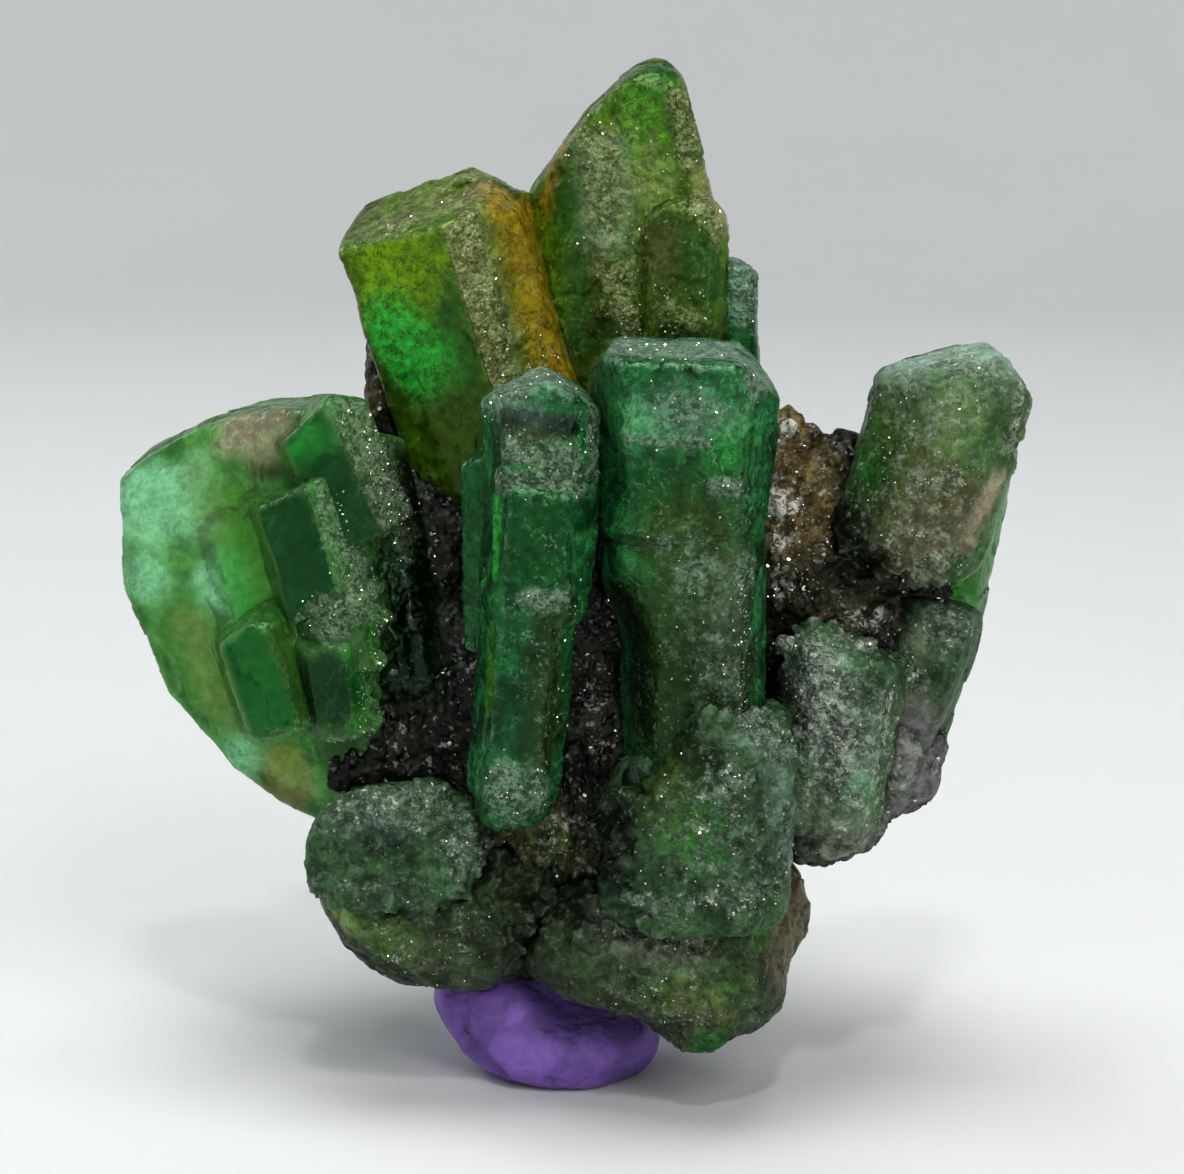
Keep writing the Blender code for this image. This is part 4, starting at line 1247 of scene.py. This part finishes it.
@dataclass
class Base(Assembly):
    """The rounded crystals and lobes at the bottom."""

    voxel: float = 0.18

    def pieces(self) -> list[Piece]:
        """The front lobe, the stub and the two lobes that carry the cluster."""
        return [self.front_lobe(), self.stub(), self.left(), self.right()]

    def front_lobe(self) -> Piece:
        """The broad crystal low at the front, with a dented pit darkened by painted shade and a frosted hem.

        Returns:
            The piece, not built yet.
        """
        patches = laid(
            # Painted shade: along the top where the lobe meets the thick crystal's shaft, and in the dented
            # pit at its right.
            Tint.SMOKE, ((5, -11.6, 23.6), (3.8, -10.8, 16), 2.2, 0.9),
                ((6.4, -12.4, 23.8), (8.6, -12.6, 22), 2, 0.85), ((11.2, -11.9, 23.2), 0.7),
            Tint.GRASS, ((9, -13.2, 18), 3, 0.25),
            Tint.ICE, ((11.6, -12, 23.6), (13.2, -10.6, 17), 1.8, 0.35),
            Tint.OLIVE, ((6, -12.8, 22), (7.4, -13, 19), 2.2, 0.5),
            Mark.CRUMB, ((9, -12.8, 18.6), 6, 0.35), ((4.4, -11, 23), (4, -11.2, 14), 2.2),
                ((4, -11.8, 13.6), (12.4, -12, 14.2), 1.6, 0.8),
                ((9.6, -11.4, 24.6), (12.6, -10.8, 23.4), 1.6, 0.7),
            Mark.FROST, ((11.4, -11.6, 24.2), (12.8, -11.2, 22.6), 1.5), ((10.2, -13, 21.4), 1.3, 0.85),
                ((9.4, -12.8, 18.4), 5, 0.5), ((4.8, -12.2, 13.8), (12.2, -12.4, 14.8), 1.3, 0.85),
                ((13.2, -10.8, 19), (12.6, -11.2, 15), 0.6),
            Mark.MELT, ((4.6, -11.6, 24), (4, -11, 14), 2.6),
        )
        pushes = (
            Push((3.9, -10.6, 23.4), 4.6, (1.9, 1.2, -0.9)),
            Push((9.4, -13.2, 17), 5, (0.3, -0.1, 0)),
            Push((11.2, -11.9, 23.3), 1.2, (0, 1.1, -0.2)),
            Push((3.6, -10.6, 14), 3.4, (-0.7, 0.4, -0.3)),
        )
        return Piece(
            "front_lobe_crystal", Slot.GREEN, FROSTED_BERYL, (8.6, -8.8, 12.4), (8.8, -9.1, 24.4), patches,
            pushes, KNOBBLY, self.voxel, seed=41,
        )

    def stub(self) -> Piece:
        """The frosted blocky crystal that points at the viewer.

        Returns:
            The piece, not built yet.
        """
        patches = laid(
            Tint.SMOKE, ((-9.4, -9.4, 16.8), 2, 0.65), ((-12.4, -8, 16.4), 1.6, 0.5),
                ((-7.6, -9.2, 17.6), 0.9, 0.7),
            Tint.ICE, ((-12, -8.6, 18.6), (-6, -8.8, 18.8), 1.8, 0.2),
            Mark.FROST, ((-12, -8.6, 18.6), (-4.6, -8.8, 18.4), 2, 0.6), ((-5, -9.2, 16.4), 2, 0.75),
                ((-11.6, -8.8, 14.4), (-7, -9.4, 13.8), 1.2, 0.55),
            Mark.CRUMB, ((-5.4, -8.6, 17.4), 3.2), ((-12.4, -8.4, 13.8), (-5, -8.8, 13.6), 1.5, 0.9),
                ((-9.4, -9.2, 17), 1.8, 0.5),
        )
        return Piece(
            "stub_crystal", Slot.FROSTED, FROSTED_BERYL, (-8.2, -2.7, 15.0), (-8.8, -9.4, 16.2), patches,
            (), KNOBBLY, self.voxel, seed=43,
        )

    def left(self) -> Piece:
        """The smooth olive lobe at the left.

        Returns:
            The piece, not built yet.
        """
        patches = laid(
            # The near-black patches are painted shade: low in the middle between the lobes, and along the top
            # where the stub rests on this lobe.
            Tint.SMOKE, ((-1.6, -6.8, 13), (0.4, -6, 10), 2.2, 0.5),
            Tint.MOSS, ((-11, -6.8, 12), (-8, -7.6, 10), 2, 0.2),
            Tint.SMOKE, ((-10, -8, 14.2), (-4, -8, 14.4), 1.2, 0.8),
            Tint.TAN, ((-12.2, -6.4, 12.2), 2.4, 0.4),
            Tint.MOSS, ((-12, -7, 12.6), (-10, -7.4, 11), 2.2, 0.4),
            Tint.BARK, ((-9, -7.6, 10.6), (-7.6, -7.8, 9.4), 2, 0.35),
            Tint.SMOKE, ((-5.4, -8, 12), (-2, -7.4, 9), 2, 0.45),
            Mark.CRUMB, ((-7, -7.4, 11.5), 5, 0.3), ((-3.4, -6.8, 14.4), (0.4, -6, 9.6), 2.8),
                ((-12, -7, 14.2), (-4, -8, 14.2), 1.4, 0.8),
            Mark.FROST, ((-7, -7.6, 11), 5, 0.38), ((-11, -7.6, 12.6), (-8, -8.2, 11.4), 1.4, 0.4),
        )
        return Piece(
            "base_lobe_left", Slot.FROSTED, LOBE_BERYL, (0, 0, 0), (1, 0, 0), patches, (), KNOBBLY,
            self.voxel, seed=47,
        )

    def right(self) -> Piece:
        """The olive lobe at the right, with an amber streak and a green tip.

        Returns:
            The piece, not built yet.
        """
        patches = laid(
            # Painted shade low in the middle, between the two lobes.
            Tint.SMOKE, ((0.4, -6.6, 12.4), (3.4, -7.6, 13.2), 2.4, 0.6),
            Tint.BARK, ((12, -5.4, 8.6), (13.6, -3, 12), 3.2, 0.85),
            Tint.MOSS, ((9.6, -9.4, 8.6), (6.6, -10, 8), 2.4, 0.3),
            Tint.RUST, ((9.4, -9.8, 6.6), (7.6, -9.8, 7.6), 1.5, 0.4),
            Tint.BOTTLE, ((9.3, -9.4, 4.4), 1.6, 0.8),
            Tint.GRASS, ((11.6, -7.4, 11.6), 1.7, 0.35),
            # Partly grey-green frost colour, partly painted light that lifts the shade under the front lobe's
            # overhang.
            Tint.ASH, ((3.4, -9, 11.4), (8, -9.8, 10.6), 1.7, 0.7),
            Mark.FROST, ((6.6, -9.6, 8.4), 5, 0.42), ((3, -8.8, 11.8), (8.4, -9.8, 11), 1.5, 0.75),
                ((4, -9.8, 6.4), (9, -10.2, 6.6), 1.3, 0.6),
            Mark.CRUMB, ((7, -9.6, 8), 5, 0.35), ((0.2, -6.6, 12.4), (4, -8.6, 12), 2.8),
                ((4, -9.4, 12), (11, -9.4, 12.4), 1.5, 0.8),
        )
        pushes = (Push((13.4, -2.6, 10.6), 5, (1.1, -0.3, 0)),)
        return Piece(
            "base_lobe_right", Slot.FROSTED, LOBE_BERYL, (0, 0, 0), (1, 0, 0), patches, pushes, KNOBBLY,
            self.voxel, seed=53,
        )


@dataclass
class Backs(Assembly):
    """The prisms of the side that faces away, each given by its foot and its head."""

    axes: tuple[tuple[Point, Point], ...] = (
        ((-9.0, 4.3, 24.0), (-14.0, 10.8, 36.0)),
        ((-2.5, 6.8, 22.0), (-5.0, 13.3, 34.5)),
        ((4.5, 5.8, 17.0), (6.0, 14.3, 25.5)),
        ((11.0, 5.3, 24.0), (14.5, 11.3, 36.0)),
        ((14.0, 2.8, 18.5), (19.5, 8.8, 26.0)),
        ((-7.0, 4.3, 14.5), (-12.5, 9.8, 19.5)),
    )
    voxel: float = 0.2
    first_seed: int = 61

    def pieces(self) -> list[Piece]:
        """The six prisms, frosted at their ends.

        Returns:
            The pieces, not built yet.
        """
        made = []
        for number, (foot, head) in enumerate(self.axes):
            middle = tuple((a + b) / 2 for a, b in zip(foot, head))
            patches = laid(
                Tint.GRASS, (foot, head, 2.8, 0.25),
                Tint.BOTTLE, (middle, 3.0, 0.5),
                Tint.OLIVE, (foot, 5.0, 0.9),
                Tint.ICE, (head, 2.2, 0.5),
                Mark.FROST, (head, 2.8, 0.85), (middle, 4.0, 0.35),
                Mark.GLINT, (foot, 5.0, 0.6),
            )
            finish = THUMB_BERYL if number % 2 else EMERALD
            name, seed = f"back_crystal_{number + 1}", self.first_seed + number
            made.append(Piece(name, Slot.GREEN, finish, foot, head, patches, (), WORN, self.voxel, seed=seed))
        return made


@dataclass
class Rock(Assembly):
    """The mica schist that everything grows from."""

    voxel: float = 0.23

    def pieces(self) -> list[Piece]:
        """The one lump.

        Returns:
            The pieces, not built yet.
        """
        patches = laid(
            Tint.MAUVE, ((20.4, -4.6, 20.6), 5.4),
            Tint.ASH, ((21.6, -4.6, 22.6), (20, -5, 18.4), 0.8, 0.5),
                ((13.6, -5, 14), (17.6, -5, 15.2), 3, 0.95),
            Tint.BARK, ((-1.4, -6.4, 15.6), (2.6, -6.8, 14.6), 3.4, 0.35),
            Tint.OLIVE, ((-1.4, -6, 18), (1, -6.4, 13.6), 2.4, 0.5),
            Tint.BARK, ((13.4, -4.2, 28.6), (18.8, -4.4, 30), 2.4, 0.6),
            Tint.RUST, ((13.4, -3, 39.6), (14.4, -4.6, 34), 3.4, 0.8),
                ((-7.6, 3, 46), (-10.4, 2.6, 40), 2.6, 0.6), ((0.6, 1.6, 44), (1.6, 1, 40), 2.4, 0.8),
            # Painted shade in the hollow of the rock under the thumb crystal.
            Tint.SMOKE, ((14.6, -4, 31), (19, -4, 31.2), 2.2, 0.7),
            Tint.RUST, ((-6, 7, 24), (0, 8.4, 20), 2.6, 0.6),
            Tint.BARK, ((8, 7, 30), (12, 5, 22), 3, 0.6),
            Tint.RUST, ((9, 6.6, 17), 2.4, 0.6),
            Mark.FROST, ((0.6, -6.4, 15.4), 4.4, 0.5), ((12.8, -3.2, 39.4), 1.5, 0.9),
                ((13.2, -4, 35.6), 1.7), ((13.2, -4.4, 33.2), 1.2, 0.8),
                ((13.2, -4.4, 31.6), (13.8, -4.4, 28.4), 0.8, 0.9),
                ((14, -4.6, 28.6), (18.4, -4.4, 28.6), 1.1, 0.8), ((2.6, -5.6, 24), 1.6, 0.4),
                ((-3, 7.6, 33), (6, 8.4, 34), 2.2, 0.7), ((0.6, 8.6, 16), 3.6, 0.6),
                ((-10, 4.6, 26), 2.4, 0.6),
            Mark.CRUMB, ((-10, 6, 22), (12, 6, 22), 9, 0.5), ((0.6, -5, 16), 9),
                ((13, -3.6, 40), (15, -4.4, 29), 3.4, 0.9), ((19, -4.6, 29.6), 3.6, 0.8),
                ((20.4, -4.6, 20.6), 4, 0.3),
            Mark.GLINT, ((12.6, -4, 38.6), (13.6, -4.6, 28), 2.2, 0.6),
                ((2.6, -6, 30), (2.8, -6.4, 22), 1.6, 0.5),
        )
        weathering = Weathering(
            grow=0.25, wave=0.45, wave_scale=0.45, streak=0.0, ledge=0.0, grit=0.45, grit_scale=1.1,
            crack=0.2, wear=0.6, chip=1.0,
        )
        lump = Piece(
            "matrix", Slot.SCHIST, Schist(), (0, 0, 0), (1, 0, 1), patches, (), weathering, self.voxel, 1,
            seed=71,
        )
        return [lump]


@dataclass
class Stand(Assembly):
    """The squashed pat of putty."""

    voxel: float = 0.2

    def pieces(self) -> list[Piece]:
        """The one pat.

        Returns:
            The pieces, not built yet.
        """
        weathering = Weathering(
            grow=0.05, wave=0.35, wave_scale=0.25, streak=0.0, ledge=0.0, grit=0.04, grit_scale=1.2,
            crack=0.12, wear=1.0, chip=0.0, blur=8,
        )
        crease = (
            (-5.5, -3.4, 5.6), (-5.4, -3.6, 4.4), (-5.0, -3.3, 3.2), (-4.4, -3.4, 2.0), (-3.4, -3.8, 1.0),
        )
        pushes = tuple(Push(place, 1.3, (0.55, 0.45, 0.0)) for place in crease)
        # Painted shade: a dark line down the dented crease, and a dark band across the upper front under the
        # rock.
        shaded_crease = ((*ends, 0.35, 0.8) for ends in zip(crease, crease[1:]))
        patches = laid(Tint.PLUM, *shaded_crease, ((-1.6, -5, 5), (4.8, -5, 3.6), 1, 0.5))
        pat = Piece(
            "putty_stand", Slot.PUTTY, Putty(), (0, 0, 0), (1, 0, 0), patches, pushes, weathering,
            self.voxel, 5, seed=83,
        )
        return [pat]

    def build(self, tree: Tree) -> list[bpy.types.Object]:
        """Builds the pat and flattens its foot on the floor.

        Args:
            tree: The weathering tree.

        Returns:
            The pat.
        """
        pat, = super().build(tree)
        for vertex in pat.data.vertices:
            vertex.co.z = max(vertex.co.z, 0.0)
        return self.made


@dataclass
class Flakes:
    """A dusting of flakes: how many lie in a square millimetre, how wide they are and how far they tip."""

    name: str
    carrier: str
    slot: Slot
    finish: Glint
    count: float
    small: float
    large: float
    seed: int
    tip: float = 0.9
    thickness: float = 0.03

    def build(self, tree: Tree, pieces: Iterable[bpy.types.Object]) -> bpy.types.Object:
        """Scatters the flakes.

        Args:
            tree: The scattering tree.
            pieces: What the flakes lie on.

        Returns:
            All the flakes as one piece.
        """
        made = added(self.name, bpy.data.meshes.new(self.name))
        mesh = bmesh.new()
        for piece in pieces:
            mesh.from_mesh(piece.data)
        mesh.to_mesh(made.data)
        mesh.free()
        names = ("carrier", "count", "small", "large", "thickness", "tip", "seed")
        tree.use(made, {name.title(): getattr(self, name) for name in names}, self.finish.material())
        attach(made, BODY)
        log.info("%s: %d faces", made.name, len(made.data.polygons))
        return made


@dataclass(frozen=True)
class SoftBox:
    """A square studio light. Its sizes and places are in metres and its power in watts."""

    name: str
    place: Point
    width: float
    power: float
    colour: Colour = (1.0, 1.0, 1.0)
    aim: Point = (0.0, 0.0, 0.03)

    def build(self) -> None:
        """Hangs the light and aims it at the middle of the object."""
        lamp = bpy.data.lights.new(self.name, "AREA")
        lamp.size = self.width
        lamp.energy = self.power
        lamp.color = self.colour
        made = added(self.name, lamp)
        made.location = self.place
        made.rotation_euler = (Vector(self.aim) - made.location).to_track_quat("-Z", "Y").to_euler()


@dataclass(frozen=True)
class Studio:
    """The camera, the pale sweep and the lights. The sweep's sizes are in metres."""

    target: Point = (2.4, -2.2, 30.0)
    distance: float = 180.0
    elevation: float = 11.0
    pixel: float = 0.058
    picture_width: int = 1184
    sensor: float = 36.0
    flat_radius: float = 0.45
    bend_radius: float = 0.30
    wall_height: float = 0.25
    bend_steps: int = 12
    round_steps: int = 96
    lights: tuple[SoftBox, ...] = (
        SoftBox("top", (-0.02, -0.06, 0.70), 0.36, 3.1),
        SoftBox("back_left", (-0.40, 0.26, 0.34), 0.22, 0.45, (0.95, 0.98, 1.0)),
        SoftBox("front_right", (0.22, -0.46, 0.40), 0.30, 1.4, (1.0, 0.97, 0.92)),
        SoftBox("sparkle", (0.02, -0.30, 0.45), 0.04, 0.45),
    )

    def build(self) -> None:
        """Sets up everything that isn't the object."""
        self.add_camera()
        self.add_sweep()
        for light in self.lights:
            light.build()
        scene = bpy.context.scene
        scene.world = bpy.data.worlds.new("daylight")
        scene.world.use_nodes = True
        sky = scene.world.node_tree.nodes["Background"]
        sky.inputs["Color"].default_value = (0.86, 0.92, 1.0, 1.0)
        sky.inputs["Strength"].default_value = 0.29
        scene.view_settings.view_transform = "Standard"
        scene.view_settings.look = "None"
        scene.view_settings.gamma = 0.85
        scene.cycles.use_denoising = True
        scene.cycles.adaptive_threshold = 0.1
        scene.cycles.caustics_reflective = scene.cycles.caustics_refractive = False
        for kind, bounces in {"max": 5, "diffuse": 3, "glossy": 2, "transmission": 3}.items():
            setattr(scene.cycles, kind + "_bounces", bounces)

    def add_camera(self) -> None:
        """Places the camera at the picture's angle."""
        lens = bpy.data.cameras.new("camera")
        lens.sensor_fit = "HORIZONTAL"
        lens.sensor_width = self.sensor
        lens.lens = self.distance / self.pixel * self.sensor / self.picture_width
        lens.clip_start = MM
        made = added("camera", lens)
        rise = math.radians(self.elevation)
        away = Vector((0.0, -math.cos(rise), math.sin(rise))) * self.distance
        made.location = (Vector(self.target) + away) * MM
        made.rotation_euler = (math.pi / 2 - rise, 0.0, 0.0)
        bpy.context.scene.camera = made

    def add_sweep(self) -> None:
        """Makes the floor, whose rim curves up into a low wall all round."""
        profile = [(0.0, 0.0), (self.flat_radius, 0.0)]
        for step in range(1, self.bend_steps + 1):
            turn = math.pi / 2 * step / self.bend_steps
            across, up = self.bend_radius * math.sin(turn), self.bend_radius * (1 - math.cos(turn))
            profile.append((self.flat_radius + across, up))
        profile.append((profile[-1][0], profile[-1][1] + self.wall_height))
        mesh = bmesh.new()
        line = [mesh.verts.new((x, 0.0, z)) for x, z in profile]
        edges = [mesh.edges.new(pair) for pair in zip(line, line[1:])]
        turn = {"angle": math.tau, "steps": self.round_steps, "axis": (0, 0, 1), "cent": (0, 0, 0)}
        bmesh.ops.spin(mesh, geom=line + edges, **turn)
        bmesh.ops.remove_doubles(mesh, verts=mesh.verts[:], dist=10 * WELD)
        bmesh.ops.recalc_face_normals(mesh, faces=mesh.faces[:])
        data = bpy.data.meshes.new("sweep")
        mesh.to_mesh(data)
        mesh.free()
        data.shade_smooth()
        data.materials.append(Card().material())
        added("sweep", data)


def main() -> None:
    """Builds the object and its studio."""
    logging.basicConfig(level=logging.INFO, format="%(message)s")
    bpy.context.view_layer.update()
    Studio().build()
    weathering, spread = weathering_tree(), spread_tree()
    green = []
    for group in (Uprights(), Fan(), Shoulder(), Base(), Backs()):
        green += group.build(weathering)
    schist, = Rock().build(weathering)
    Stand().build(weathering)
    druse = Glint("druse", (0.90, 0.92, 0.78))
    mica = Glint("mica", (0.70, 0.72, 0.66))
    dusting = Flakes("druse_flakes", "glint", Slot.FROSTED, druse, count=3.6, small=0.06, large=0.20, seed=5)
    dusting.build(spread, green + [schist])
    store(schist.data, "whole", "FLOAT", np.ones(len(schist.data.vertices)))
    dusting = Flakes("mica_flakes", "whole", Slot.SCHIST, mica, count=0.5, small=0.12, large=0.40, seed=9)
    dusting.build(spread, [schist])


if __name__ == "__main__":
    main()
